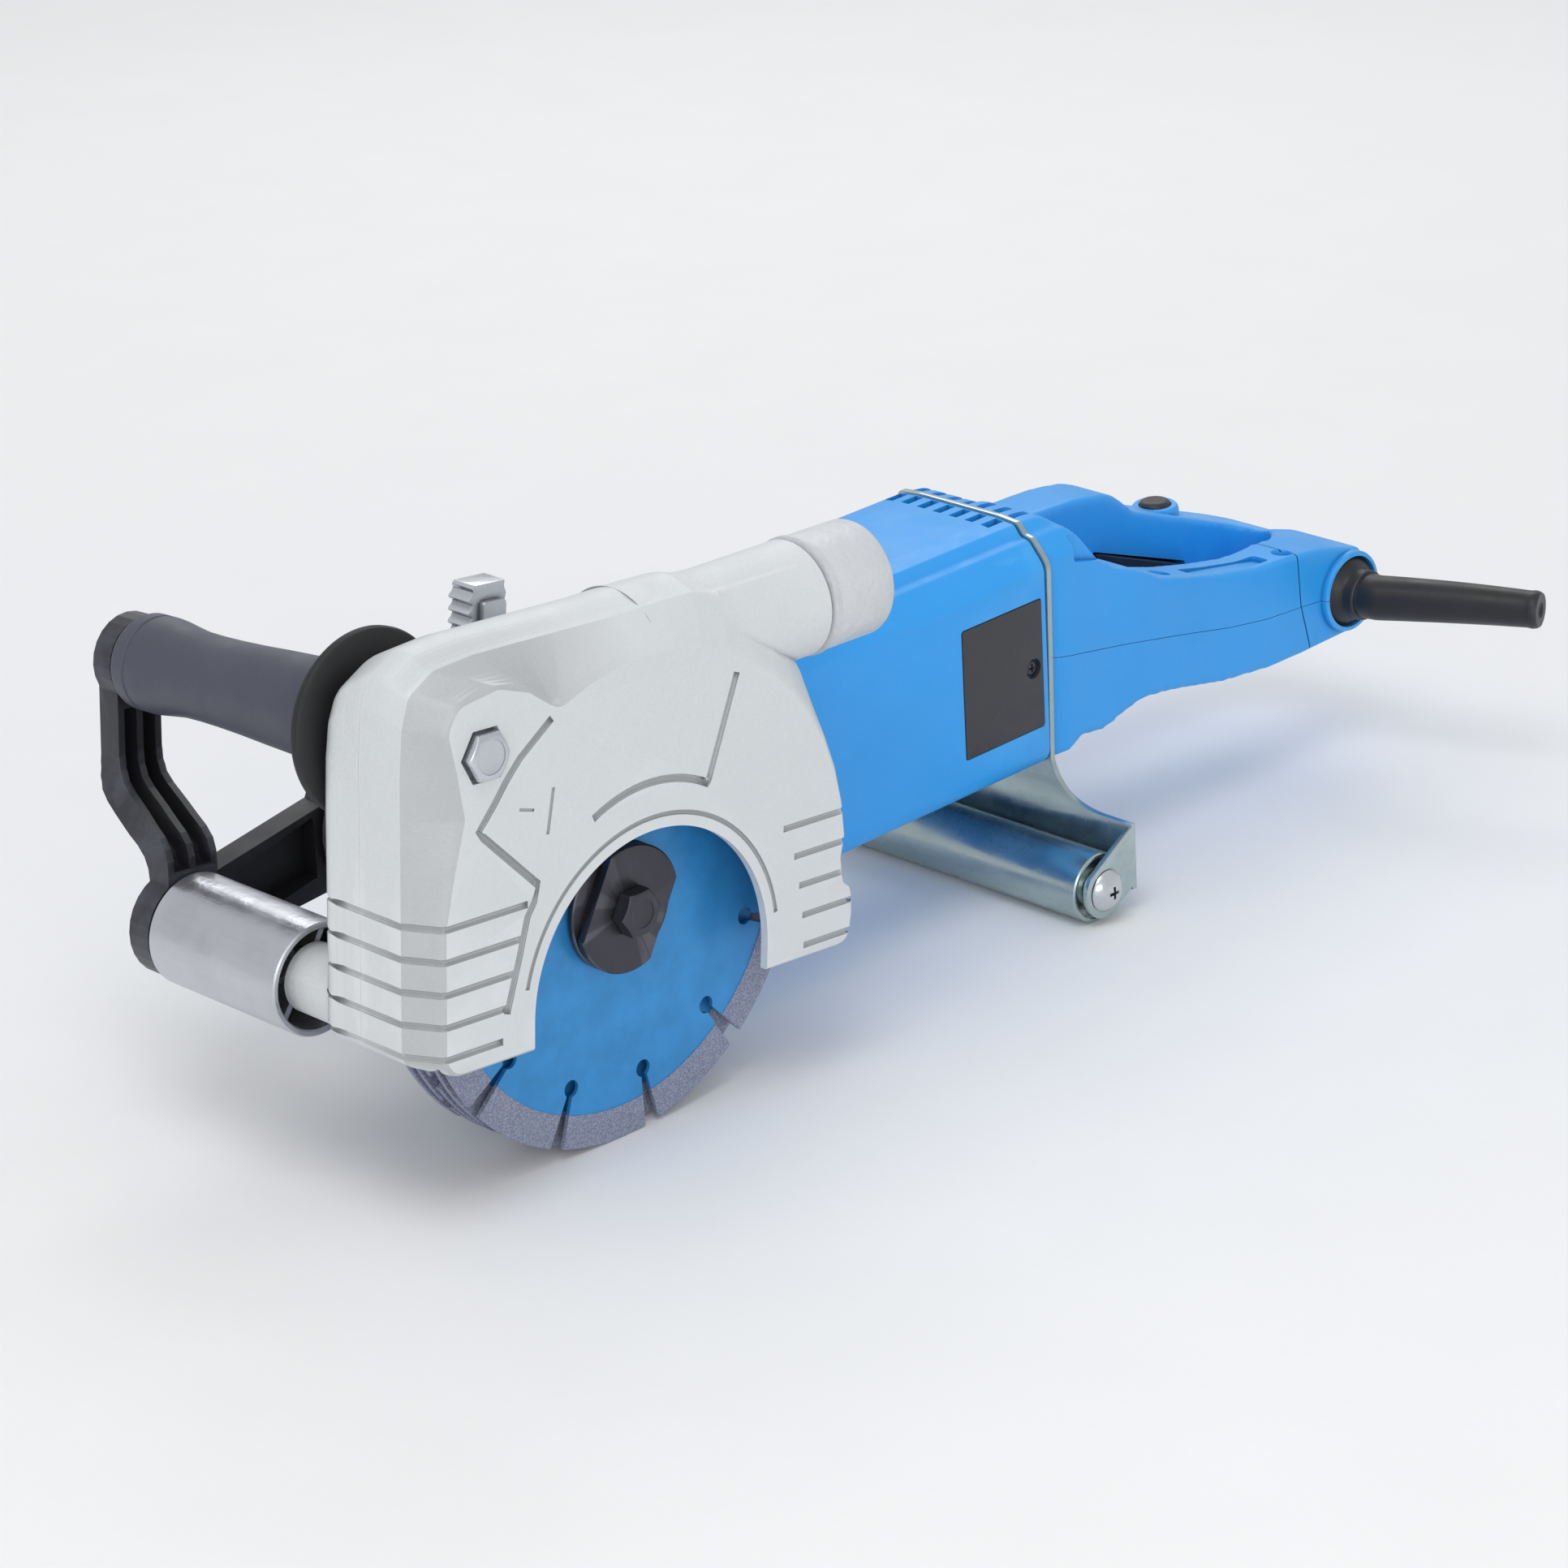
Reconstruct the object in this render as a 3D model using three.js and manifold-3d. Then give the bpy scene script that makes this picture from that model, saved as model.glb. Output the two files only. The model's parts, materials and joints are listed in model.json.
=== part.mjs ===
// Wall chaser: a hand-held mains machine that cuts a slot with five diamond blades on one spindle.
// Millimetres, +Z up, -X is the cutting end, +X the cable end, the open side of the guard faces -Y.
// The machine stands on its blades and its rear roller. Two nested groups share the spindle axis:
// the motor unit, whose long axis rises slightly to the rear, and the guard, which swings about the spindle.

import * as THREE from 'three';
import { mergeVertices } from 'three/addons/utils/BufferGeometryUtils.js';
import Module from 'manifold-3d';

const wasm = await Module();
wasm.setup();

// ---------------------------------------------------------------- driving dimensions

const GAP = 0.3; // clearance left between touching pieces
const DEG = Math.PI / 180;

const BLADE_RADIUS = 95;
const BLADE_COUNT = 5;
const BLADE_THICKNESS = 2.2;
const BLADE_PITCH = 6.05;
const BLADE_SEGMENTS = 12;
const KEYHOLE_CIRCLE = 71.4;
const KEYHOLE_RADIUS = 3.5;
const SPINDLE_NOSE = 11;

const GUARD_NEAR = -21.5;
const GUARD_FAR = 36;
const GUARD_WALL = 3.5;
const GUARD_PARTING = 14;
const GUARD_BOTTOM = -35.6;
const GUARD_ROOF = 119.5;
const GUARD_FRONT = -112.5;
const CHAMBER_RADIUS = 99;
const GUARD_TO_MOTOR = 5.58 * DEG; // angle between the guard's level and the motor axis
const NECK_RADIUS = 30;

const DUCT_RADIUS = 22.9;
const DUCT_BORE = 19.6;
const DUCT_Y = 7;
const DUCT_Z = 92;
const DUCT_PITCH = 3 * DEG;
const DUCT_END = 98;
const ADAPTER_END = 130;

const GRIP_X = -84.5;
const GRIP_Z = 83; // height of the grip bolt's axis at the guard's open side
const GRIP_DROOP = 3 * DEG;
const FRONT_ROLLER = { x: -97, z: -20, radius: 22, y0: 55, y1: 128 };
const BRACKET_Y = 134;
const BRACKET_DEPTH = 11;

const MOTOR_Y = 88; // motor axis, from the nearest blade
const SECTION = { y0: 40, y1: 136, z0: -50, z1: 50, upper: 16, lower: 8 }; // motor housing section
const HOUSING = { x0: 62, x1: 283.7 };
const HOUSING_WALL = 3.5;
const GEAR_CASE = { radius: 45, y0: 58, y1: 132, x1: 61.7 };
const PLATE = { x0: 284, x1: 286.5, z1: -95 };
const REAR_ROLLER = { x: 267.6, z: -89.5, radius: 15 };
const EAR_NEAR = -3;
const EAR_FAR = 179;
const HANDLE_START = 286.8;
const TAIL_END = 508;
const GLAND = { x: 487, y: 35, drop: 36.5 }; // cable entry: outer face Y, axis below the motor axis

const REAR_REACH = Math.hypot(REAR_ROLLER.x, REAR_ROLLER.z);
const MOTOR_PITCH =
  Math.atan2(-REAR_ROLLER.z, REAR_ROLLER.x) -
  Math.asin((BLADE_RADIUS - REAR_ROLLER.radius) / REAR_REACH);
const GUARD_PITCH = MOTOR_PITCH - GUARD_TO_MOTOR;
const SPINDLE_X = -200.4; // places the box of the whole machine over the origin
const SPINDLE_Y = -70.52;

// ---------------------------------------------------------------- materials

const finish = (color, roughness, metalness = 0) =>
  new THREE.MeshStandardMaterial({ color, roughness, metalness });

const paintedCasting = finish(0xd7d9da, 0.55, 0.1);
const bluePlastic = finish(0x46a5f0, 0.45);
const blackPlastic = finish(0x1b1b1d, 0.55);
const greyPlastic = finish(0x444446, 0.5);
const softRubber = finish(0x4e505c, 0.7);
const zincSteel = finish(0xb4b9b6, 0.3, 0.9);
const brightZinc = finish(0xcfd2d4, 0.25, 0.9);
const darkSteel = finish(0x45454a, 0.45, 0.7);
const plainSteel = finish(0x9a9ca0, 0.35, 0.9);
const castAluminium = finish(0xa9abad, 0.5, 0.8);
const rollerAluminium = finish(0xbfc1c5, 0.35, 0.9);
const bladeBlue = finish(0x3a96d4, 0.4, 0.3);
const copper = finish(0xb87333, 0.35, 0.9);
const carbon = finish(0x2a2a2c, 0.8);

// ---------------------------------------------------------------- solids

const asSolid = (geometry) => {
  const bare = geometry.clone();
  bare.deleteAttribute('normal');
  bare.deleteAttribute('uv');
  const merged = mergeVertices(bare, 1e-4);
  const position = merged.getAttribute('position');
  const index = Array.from(merged.index.array);
  const faces = [];
  for (let i = 0; i < index.length; i += 3) {
    const [a, b, c] = index.slice(i, i + 3);
    if (a !== b && b !== c && c !== a) faces.push([a, b, c]);
  }
  const corner = (k) => new THREE.Vector3().fromBufferAttribute(position, k);
  const volume = faces.reduce(
    (sum, [a, b, c]) => sum + corner(a).dot(corner(b).cross(corner(c))), 0);
  if (volume < 0) faces.forEach((face) => face.reverse());
  const mesh = new wasm.Mesh({
    numProp: 3,
    vertProperties: new Float32Array(position.array),
    triVerts: new Uint32Array(faces.flat()),
  });
  return new wasm.Manifold(mesh);
};

const asGeometry = (solid) => {
  const mesh = solid.getMesh();
  const geometry = new THREE.BufferGeometry();
  geometry.setAttribute('position', new THREE.BufferAttribute(new Float32Array(mesh.vertProperties), 3));
  geometry.setIndex(new THREE.BufferAttribute(new Uint32Array(mesh.triVerts), 1));
  geometry.computeVertexNormals();
  return geometry;
};

const join = (...solids) => solids.reduce((whole, next) => whole.add(next));
const cut = (body, ...tools) => tools.reduce((rest, tool) => rest.subtract(tool), body);

const shapeOf = (points, holes = []) => {
  const shape = new THREE.Shape(points.map(([u, v]) => new THREE.Vector2(u, v)));
  holes.forEach((hole) => shape.holes.push(new THREE.Path(hole.map(([u, v]) => new THREE.Vector2(u, v)))));
  return shape;
};

const extrude = (points, depth, holes) =>
  new THREE.ExtrudeGeometry(shapeOf(points, holes), { depth, bevelEnabled: false });

// outline in X and Z, swept from y0 to y1
const prismY = (points, y0, y1, holes) => {
  const geometry = extrude(points, y1 - y0, holes);
  geometry.rotateX(Math.PI / 2).translate(0, y1, 0);
  return asSolid(geometry);
};

// outline in Y and Z, swept from x0 to x1
const prismX = (points, x0, x1, holes) => {
  const geometry = extrude(points, x1 - x0, holes);
  geometry.applyMatrix4(new THREE.Matrix4().set(0, 0, 1, x0, 1, 0, 0, 0, 0, 1, 0, 0, 0, 0, 0, 1));
  return asSolid(geometry);
};

// outline in X and Y, swept from z0 to z1
const prismZ = (points, z0, z1, holes) => {
  const geometry = extrude(points, z1 - z0, holes);
  geometry.translate(0, 0, z0);
  return asSolid(geometry);
};

const box = (x0, x1, y0, y1, z0, z1) => {
  const geometry = new THREE.BoxGeometry(x1 - x0, y1 - y0, z1 - z0);
  geometry.translate((x0 + x1) / 2, (y0 + y1) / 2, (z0 + z1) / 2);
  return asSolid(geometry);
};

const cylinderY = (radius, y0, y1, x = 0, z = 0, sides = 24) => {
  const geometry = new THREE.CylinderGeometry(radius, radius, y1 - y0, sides);
  geometry.translate(x, (y0 + y1) / 2, z);
  return asSolid(geometry);
};

const cylinderX = (radius, x0, x1, y = 0, z = 0, sides = 24) => {
  const geometry = new THREE.CylinderGeometry(radius, radius, x1 - x0, sides);
  geometry.rotateZ(-Math.PI / 2).translate((x0 + x1) / 2, y, z);
  return asSolid(geometry);
};

const cylinderZ = (radius, z0, z1, x = 0, y = 0, sides = 16) => {
  const geometry = new THREE.CylinderGeometry(radius, radius, z1 - z0, sides);
  geometry.rotateX(Math.PI / 2).translate(x, y, (z0 + z1) / 2);
  return asSolid(geometry);
};

// profile of [radius, distance along the axis], turned about an axis parallel to Y
const turnY = (profile, x = 0, z = 0, sides = 24) => {
  const closed = [...profile, profile[0]].map(([r, y]) => new THREE.Vector2(r, y));
  const geometry = new THREE.LatheGeometry(closed, sides);
  geometry.translate(x, 0, z);
  return asSolid(geometry);
};

// the same about an axis parallel to X
const turnX = (profile, y = 0, z = 0, sides = 24) => {
  const closed = [...profile, profile[0]].map(([r, x]) => new THREE.Vector2(r, x));
  const geometry = new THREE.LatheGeometry(closed, sides);
  geometry.rotateZ(-Math.PI / 2).translate(0, y, z);
  return asSolid(geometry);
};

const ring = (inner, outer, y0, y1) => [[inner, y0], [outer, y0], [outer, y1], [inner, y1]];

// a skin stretched over outlines of equal point count, closed by two flat ends
const loft = (sections) => {
  const count = sections[0].length;
  const vertices = sections.flat();
  const faces = [];
  for (let s = 0; s + 1 < sections.length; s++) {
    for (let i = 0; i < count; i++) {
      const a = s * count + i;
      const b = s * count + ((i + 1) % count);
      faces.push([a, b, b + count], [a, b + count, a + count]);
    }
  }
  const last = (sections.length - 1) * count;
  const middle = (outline) => outline
    .reduce((sum, point) => sum.map((v, k) => v + point[k] / count), [0, 0, 0]);
  vertices.push(middle(sections[0]), middle(sections[sections.length - 1]));
  for (let i = 0; i < count; i++) {
    const next = (i + 1) % count;
    faces.push([next, i, last + count], [last + i, last + next, last + count + 1]);
  }
  const geometry = new THREE.BufferGeometry();
  geometry.setAttribute('position', new THREE.Float32BufferAttribute(vertices.flat(), 3));
  geometry.setIndex(faces.flat());
  return asSolid(geometry);
};

// ---------------------------------------------------------------- outlines

const arc = (cx, cy, radius, from, to, steps) =>
  Array.from({ length: steps + 1 }, (_, i) => {
    const angle = (from + ((to - from) * i) / steps) * DEG;
    return [cx + radius * Math.cos(angle), cy + radius * Math.sin(angle)];
  });

const roundedBox = (u0, u1, v0, v1, r, steps = 4) => [
  ...arc(u0 + r, v0 + r, r, 180, 270, steps),
  ...arc(u1 - r, v0 + r, r, 270, 360, steps),
  ...arc(u1 - r, v1 - r, r, 0, 90, steps),
  ...arc(u0 + r, v1 - r, r, 90, 180, steps),
];

const hexagon = (x, z, acrossFlats) => arc(x, z, acrossFlats / Math.sqrt(3), 0, 300, 5);

// replaces every corner of a closed outline by a short curve
const rounded = (points, radius, steps = 3) =>
  points.flatMap(([x, y], i) => {
    const ends = [points[(i + points.length - 1) % points.length], points[(i + 1) % points.length]]
      .map(([u, v]) => {
        const length = Math.hypot(u - x, v - y);
        const share = Math.min(radius, 0.45 * length) / length;
        return [x + (u - x) * share, y + (v - y) * share];
      });
    return Array.from({ length: steps + 1 }, (_, k) => {
      const t = k / steps;
      return [0, 1].map((c) =>
        (1 - t) ** 2 * ends[0][c] + 2 * t * (1 - t) * [x, y][c] + t ** 2 * ends[1][c]);
    });
  });

// moves every edge of a closed outline inwards by the same distance
const inset = (points, distance) => {
  const area = points.reduce((sum, [x, y], i) => {
    const [nx, ny] = points[(i + 1) % points.length];
    return sum + x * ny - nx * y;
  }, 0);
  const side = Math.sign(area) * distance;
  return points.map((point, i) => {
    const before = points[(i + points.length - 1) % points.length];
    const after = points[(i + 1) % points.length];
    const n1 = new THREE.Vector2(-(point[1] - before[1]), point[0] - before[0]).normalize();
    const n2 = new THREE.Vector2(-(after[1] - point[1]), after[0] - point[0]).normalize();
    const middle = n1.clone().add(n2).normalize();
    const reach = side / Math.max(0.5, middle.dot(n1));
    return [point[0] + middle.x * reach, point[1] + middle.y * reach];
  });
};

// ---------------------------------------------------------------- scene graph

const machine = new THREE.Group();
const motorUnit = new THREE.Group();
const guardUnit = new THREE.Group();
const gripUnit = new THREE.Group();
machine.add(motorUnit, guardUnit);
guardUnit.add(gripUnit);
for (const unit of [motorUnit, guardUnit]) unit.position.set(SPINDLE_X, SPINDLE_Y, BLADE_RADIUS);
motorUnit.rotation.y = -MOTOR_PITCH;
guardUnit.rotation.y = -GUARD_PITCH;
gripUnit.position.set(GRIP_X, GUARD_NEAR, GRIP_Z);
gripUnit.rotation.x = -GRIP_DROOP;

const piece = (unit, name, solid, material) => {
  const mesh = new THREE.Mesh(asGeometry(solid), material);
  mesh.name = name;
  unit.add(mesh);
};

// ---------------------------------------------------------------- blades and spindle

const bladeOutline = (turn) => {
  const step = 360 / BLADE_SEGMENTS;
  const slot = 1.9; // half width of the gullet at the rim, in degrees
  const points = [];
  for (let i = 0; i < BLADE_SEGMENTS; i++) {
    const gullet = turn + i * step;
    points.push(...arc(0, 0, BLADE_RADIUS, gullet + slot, gullet + step - slot, 2));
    const next = gullet + step;
    const cx = KEYHOLE_CIRCLE * Math.cos(next * DEG);
    const cz = KEYHOLE_CIRCLE * Math.sin(next * DEG);
    points.push(...arc(cx, cz, KEYHOLE_RADIUS, next - 24, next - 336, 4));
  }
  return points;
};

for (let i = 0; i < BLADE_COUNT; i++) {
  const y0 = i * BLADE_PITCH;
  const bore = arc(0, 0, SPINDLE_NOSE + GAP, 0, 330, 11);
  const outline = bladeOutline(-83.6 + i * 11);
  const disc = prismY(outline, y0, y0 + BLADE_THICKNESS, [bore]);
  const hub = turnY(ring(SPINDLE_NOSE + GAP, 20, y0 + 0.5, y0 + BLADE_PITCH - GAP), 0, 0, 16);
  piece(motorUnit, `blade_${i + 1}`, i + 1 < BLADE_COUNT ? join(disc, hub) : disc, bladeBlue);
}

const stackEnd = (BLADE_COUNT - 1) * BLADE_PITCH + BLADE_THICKNESS;
piece(motorUnit, 'inner_flange',
  turnY(ring(SPINDLE_NOSE + GAP, 24, stackEnd + GAP, stackEnd + 6.5)), darkSteel);

// Two flats for the spanner, turned from the upright; a neck parts them from the disc behind.
const FLANGE = { flat: 18.5, turn: 30 };
const flats = asSolid(new THREE.BoxGeometry(2 * FLANGE.flat, 12, 60).rotateY(FLANGE.turn * DEG));
const outerFlange = join(
  turnY(ring(SPINDLE_NOSE + GAP, 25, -3.2, -GAP)),
  turnY(ring(5.4, 21, -5, -3.1)).intersect(flats),
  turnY(ring(5.4, 25, -7.8, -4.6)).intersect(flats.translate([0, -3, 0])),
);
piece(motorUnit, 'outer_flange', outerFlange, darkSteel);

const bladeBolt = join(
  prismY(hexagon(0, 0, 17), -14.4, -8.1),
  cylinderY(4.9, -8.2, 18, 0, 0, 16),
);
piece(motorUnit, 'blade_bolt', bladeBolt, darkSteel);

const spindleProfile = [
  [5.3, -2.6], [SPINDLE_NOSE - 0.1, -2.6], [SPINDLE_NOSE - 0.1, 33.3], [13, 33.3], [13, 40],
  [10, 40], [10, 98], [6, 98], [6, 112], [0, 112], [0, 20], [5.3, 20],
];
piece(motorUnit, 'output_spindle', turnY(spindleProfile, 0, 0, 16), plainSteel);

// Bevel pair: the pitch cones meet where the two axes cross, at Y = MOTOR_Y.
const GEAR_TEETH = 25;
const PINION_TEETH = 8;
const GEAR_PITCH_RADIUS = 33;
const PINION_PITCH_RADIUS = (GEAR_PITCH_RADIUS * PINION_TEETH) / GEAR_TEETH;
const TOOTH_HEIGHT = 2.2;

// a row of straight teeth on a cone whose apex is the origin and whose axis is +Y
const conicalTeeth = (teeth, radius, distance, phase) => {
  const length = Math.hypot(radius, distance);
  const inner = (length - 9) / length;
  const rows = [];
  for (let i = 0; i < teeth; i++) {
    const mid = ((i + phase) * 360) / teeth;
    const half = (360 / teeth) * 0.17;
    const section = (scale) => {
      const normal = [distance / length, -radius / length];
      const place = (angle, lift) => {
        const r = radius * scale + normal[0] * lift * scale;
        const y = distance * scale + normal[1] * lift * scale;
        return [r * Math.cos(angle * DEG), y, r * Math.sin(angle * DEG)];
      };
      return [place(mid - half * 1.5, -TOOTH_HEIGHT * 0.9), place(mid - half * 0.6, TOOTH_HEIGHT / 2),
        place(mid + half * 0.6, TOOTH_HEIGHT / 2), place(mid + half * 1.5, -TOOTH_HEIGHT * 0.9)];
    };
    const corners = [...section(inner), ...section(1)];
    const quads = [[0, 1, 2, 3], [7, 6, 5, 4], [0, 4, 5, 1], [1, 5, 6, 2], [2, 6, 7, 3], [3, 7, 4, 0]];
    const geometry = new THREE.BufferGeometry();
    geometry.setAttribute('position', new THREE.Float32BufferAttribute(corners.flat(), 3));
    geometry.setIndex(quads.flatMap(([a, b, c, d]) => [a, b, c, a, c, d]));
    rows.push(asSolid(geometry));
  }
  return join(...rows);
};

const gearReach = PINION_PITCH_RADIUS; // axial distance of the gear's pitch circle from the apex
const gearTeeth = conicalTeeth(GEAR_TEETH, GEAR_PITCH_RADIUS, gearReach, 0)
  .rotate([180, 0, 0]).translate([0, MOTOR_Y, 0]);
const gearBody = turnY([
  [10.2, 66], [16, 66], [18, 70], [GEAR_PITCH_RADIUS, 73],
  [GEAR_PITCH_RADIUS - 0.2, MOTOR_Y - gearReach - 1.5], [22, MOTOR_Y - gearReach * 0.66 - 1.5],
  [15, MOTOR_Y - gearReach * 0.66 - 1.5], [10.2, MOTOR_Y - gearReach * 0.66 - 1.5],
], 0, 0, GEAR_TEETH);
piece(motorUnit, 'bevel_gear', join(gearBody, gearTeeth), plainSteel);

const pinionTeeth = conicalTeeth(PINION_TEETH, PINION_PITCH_RADIUS, GEAR_PITCH_RADIUS, 0.5)
  .rotate([0, 0, -90]).translate([0, MOTOR_Y, 0]);
const pinionBody = turnX([
  [4.7, 23.5], [5, 23.5], [PINION_PITCH_RADIUS - 1.6, GEAR_PITCH_RADIUS - 0.4], [PINION_PITCH_RADIUS - 0.4, 34.4],
  [PINION_PITCH_RADIUS - 0.4, 38], [4.7, 38],
], MOTOR_Y, 0, 16);
piece(motorUnit, 'bevel_pinion', join(pinionBody, pinionTeeth), plainSteel);

// ---------------------------------------------------------------- gear case

// The case is a drum round the spindle, open on the blade side and bolted to the motor at its square rear flange.
const gearCase = () => {
  const { radius, y0, y1, x1 } = GEAR_CASE;
  const drum = turnY([[0, y0], [radius, y0], [radius, 100], [30, y1], [0, y1]], 0, 0, 32);
  const rear = prismX([
    [y0, -radius], [y0, radius], [104, radius], [y1, 30], [y1, -30], [104, -radius],
  ].reverse(), 0, x1);
  const flange = prismX(roundedBox(SECTION.y0 + 2, SECTION.y1 - 2, SECTION.z0 + 3, SECTION.z1 - 1, 12, 3), 54, x1);
  return cut(
    join(
      drum,
      rear,
      flange,
      cylinderY(20, y1 - 2, y1 + 14, 0, 0, 24),
    ),
    cylinderY(37.8, y0 - 1, 104, 0, 0, 32),
    cylinderY(26, 100, y1 - 4, 0, 0, 24),
    cylinderY(4.4, 120, 160, 0, 0, 12),
    cylinderX(16.4, 30, x1 + 1, MOTOR_Y, 0, 24),
    box(50, 70, 30, y0 - 0.1, -44.9, 44.9),
  );
};
piece(motorUnit, 'gear_housing', gearCase(), castAluminium);

const coverProfile = [
  [17, 37.4], [NECK_RADIUS, 37.4], [NECK_RADIUS, 52], [43, 52], [43, 57.7], [37.4, 57.7], [37.4, 62], [31, 62],
  [24, 56], [17, 56],
];
piece(motorUnit, 'gear_cover', turnY(coverProfile, 0, 0, 28), castAluminium);

piece(motorUnit, 'spindle_bearing', turnY(ring(10.3, 16.7, 43, 55)), plainSteel);

// ---------------------------------------------------------------- armature

const onMotorAxis = (profile, sides) => turnX(profile, MOTOR_Y, 0, sides);

const shaftProfile = [
  [0, 22.5], [4.4, 22.5], [4.4, 38.3], [7.6, 38.3], [7.6, 57], [8.6, 57], [8.6, 264], [5.6, 264], [5.6, 278],
  [0, 278],
];
piece(motorUnit, 'armature_shaft', onMotorAxis(shaftProfile, 14), plainSteel);

const coreOutline = [];
for (let i = 0; i < 12; i++) {
  const start = i * 30;
  coreOutline.push(...arc(0, 0, 26, start + 3, start + 27, 1), ...arc(0, 0, 20, start + 27, start + 33, 1));
}
const shaftHole = arc(0, 0, 8.9, 0, 330, 11);
const shiftY = (points, dy) => points.map(([y, z]) => [y + dy, z]);
piece(motorUnit, 'armature_core',
  prismX(shiftY(coreOutline, MOTOR_Y), 107, 183, [shiftY(shaftHole, MOTOR_Y)]), darkSteel);
piece(motorUnit, 'commutator', onMotorAxis(ring(8.9, 18, 238, 264), 18), copper);
piece(motorUnit, 'front_bearing', onMotorAxis(ring(7.9, 16.1, 44, 56), 18), plainSteel);
piece(motorUnit, 'rear_bearing', onMotorAxis(ring(5.9, 12.8, 267, 276), 18), plainSteel);

const fanBlades = Array.from({ length: 9 }, (_, i) => {
  const vane = new THREE.BoxGeometry(11.3, 22.4, 1.7);
  vane.translate(79.1, 25.3, 0).rotateX((i * 40 + 3) * DEG).translate(0, MOTOR_Y, 0);
  return asSolid(vane);
});
const fanDisc = onMotorAxis([[8.9, 70], [16, 70], [39, 72.1], [39, 74.6], [16, 75], [12, 83], [8.9, 83]], 20);
piece(motorUnit, 'cooling_fan', join(fanDisc, ...fanBlades), blackPlastic);

// ---------------------------------------------------------------- motor housing and stator

const sectionOutline = (shrink) => {
  const { y0, y1, z0, z1, upper, lower } = SECTION;
  const low = Math.max(2, lower - shrink);
  const high = Math.max(2, upper - shrink);
  return [
    ...arc(y0 + shrink + low, z0 + shrink + low, low, 180, 270, 3),
    ...arc(y1 - shrink - low, z0 + shrink + low, low, 270, 360, 3),
    ...arc(y1 - shrink - high, z1 - shrink - high, high, 0, 90, 4),
    ...arc(y0 + shrink + high, z1 - shrink - high, high, 90, 180, 4),
  ];
};

const COVER = { x0: 233, x1: 280.4, z0: -31, z1: 25, screwX: 274.5, screwZ: -4 };
const coverPlate = (y0, y1, shrink) =>
  box(COVER.x0 + shrink, COVER.x1 - shrink, y0, y1, COVER.z0 + shrink, COVER.z1 - shrink);

const motorHousing = () => {
  const { x0, x1 } = HOUSING;
  const shell = prismX(sectionOutline(0), x0, x1, [sectionOutline(HOUSING_WALL)]);
  const web = cut(
    prismX(sectionOutline(HOUSING_WALL - 1), 268, 275),
    cylinderX(13.1, 260, 280, MOTOR_Y, 0, 24),
    ...[45, 135, 225, 315].map((a) =>
      cylinderX(13, 260, 280, MOTOR_Y + 31 * Math.cos(a * DEG), 31 * Math.sin(a * DEG), 12)),
  );
  const collar = cut(
    prismX(sectionOutline(HOUSING_WALL - 1), x0, 66),
    cylinderX(40.8, 60, 70, MOTOR_Y, 0, 32),
  );
  const vents = Array.from({ length: 6 }, (_, i) =>
    box(226, 256, 62 + i * 10, 66 + i * 10, SECTION.z1 - 6, SECTION.z1 + 1));
  const nearPocket = coverPlate(SECTION.y0 - 1, SECTION.y0 + 2.4, -GAP);
  const farPocket = coverPlate(SECTION.y1 - 2.4, SECTION.y1 + 1, -GAP);
  const windows = join(
    box(240, 262, SECTION.y0 - 1, SECTION.y0 + 6, -18, 12),
    box(240, 262, SECTION.y1 - 6, SECTION.y1 + 1, -18, 12),
  );
  return cut(join(shell, web, collar), nearPocket, farPocket, windows, ...vents);
};
piece(motorUnit, 'motor_housing', motorHousing(), bluePlastic);

const screwPit = (y0, y1) => cylinderY(4, y0, y1, COVER.screwX, COVER.screwZ, 12);
piece(motorUnit, 'brush_cover_near',
  cut(coverPlate(SECTION.y0 - 0.4, SECTION.y0 + 2, 0), screwPit(SECTION.y0 - 1, SECTION.y0 + 3)), greyPlastic);
piece(motorUnit, 'brush_cover_far',
  cut(coverPlate(SECTION.y1 - 2, SECTION.y1 + 0.4, 0), screwPit(SECTION.y1 - 3, SECTION.y1 + 1)), greyPlastic);
piece(motorUnit, 'brush_cover_screw_near',
  cylinderY(3.6, SECTION.y0 + 0.4, SECTION.y0 + 2.1, COVER.screwX, COVER.screwZ, 12), darkSteel);
piece(motorUnit, 'brush_cover_screw_far',
  cylinderY(3.6, SECTION.y1 - 2.1, SECTION.y1 - 0.4, COVER.screwX, COVER.screwZ, 12), darkSteel);

const statorOutline = arc(MOTOR_Y, 0, 41.8, 0, 348.75, 31);
const statorBore = arc(MOTOR_Y, 0, 27.2, 0, 345, 23);
const coilSides = (y, z, x0, x1) => join(...[-1, 1].flatMap((side) => [-1, 1].map((end) =>
  box(x0, x1, MOTOR_Y + side * 26 - y, MOTOR_Y + side * 26 + y, end * 18 - z, end * 18 + z))));
piece(motorUnit, 'stator_core',
  prismX(statorOutline, 105, 185, [statorBore]).subtract(coilSides(4.5, 4.5, 100, 190)), darkSteel);
piece(motorUnit, 'field_coils', join(
  onMotorAxis(ring(28, 39, 92, 104.6), 24),
  onMotorAxis(ring(28, 39, 185.4, 198), 24),
  coilSides(4, 4, 98, 192).subtract(cylinderX(28, 90, 200, MOTOR_Y, 0, 24)),
), copper);

const brushRow = (half, from, to) => join(
  box(251 - half, 251 + half, MOTOR_Y - to, MOTOR_Y - from, -half * 0.7, half * 0.7),
  box(251 - half, 251 + half, MOTOR_Y + from, MOTOR_Y + to, -half * 0.7, half * 0.7),
);
piece(motorUnit, 'brush_gear', join(
  brushRow(4.2, 18.6, 30), brushRow(7, 22, 39), onMotorAxis(ring(24, 36, 245, 249), 24),
), carbon);

// ---------------------------------------------------------------- rear support and roller

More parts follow.
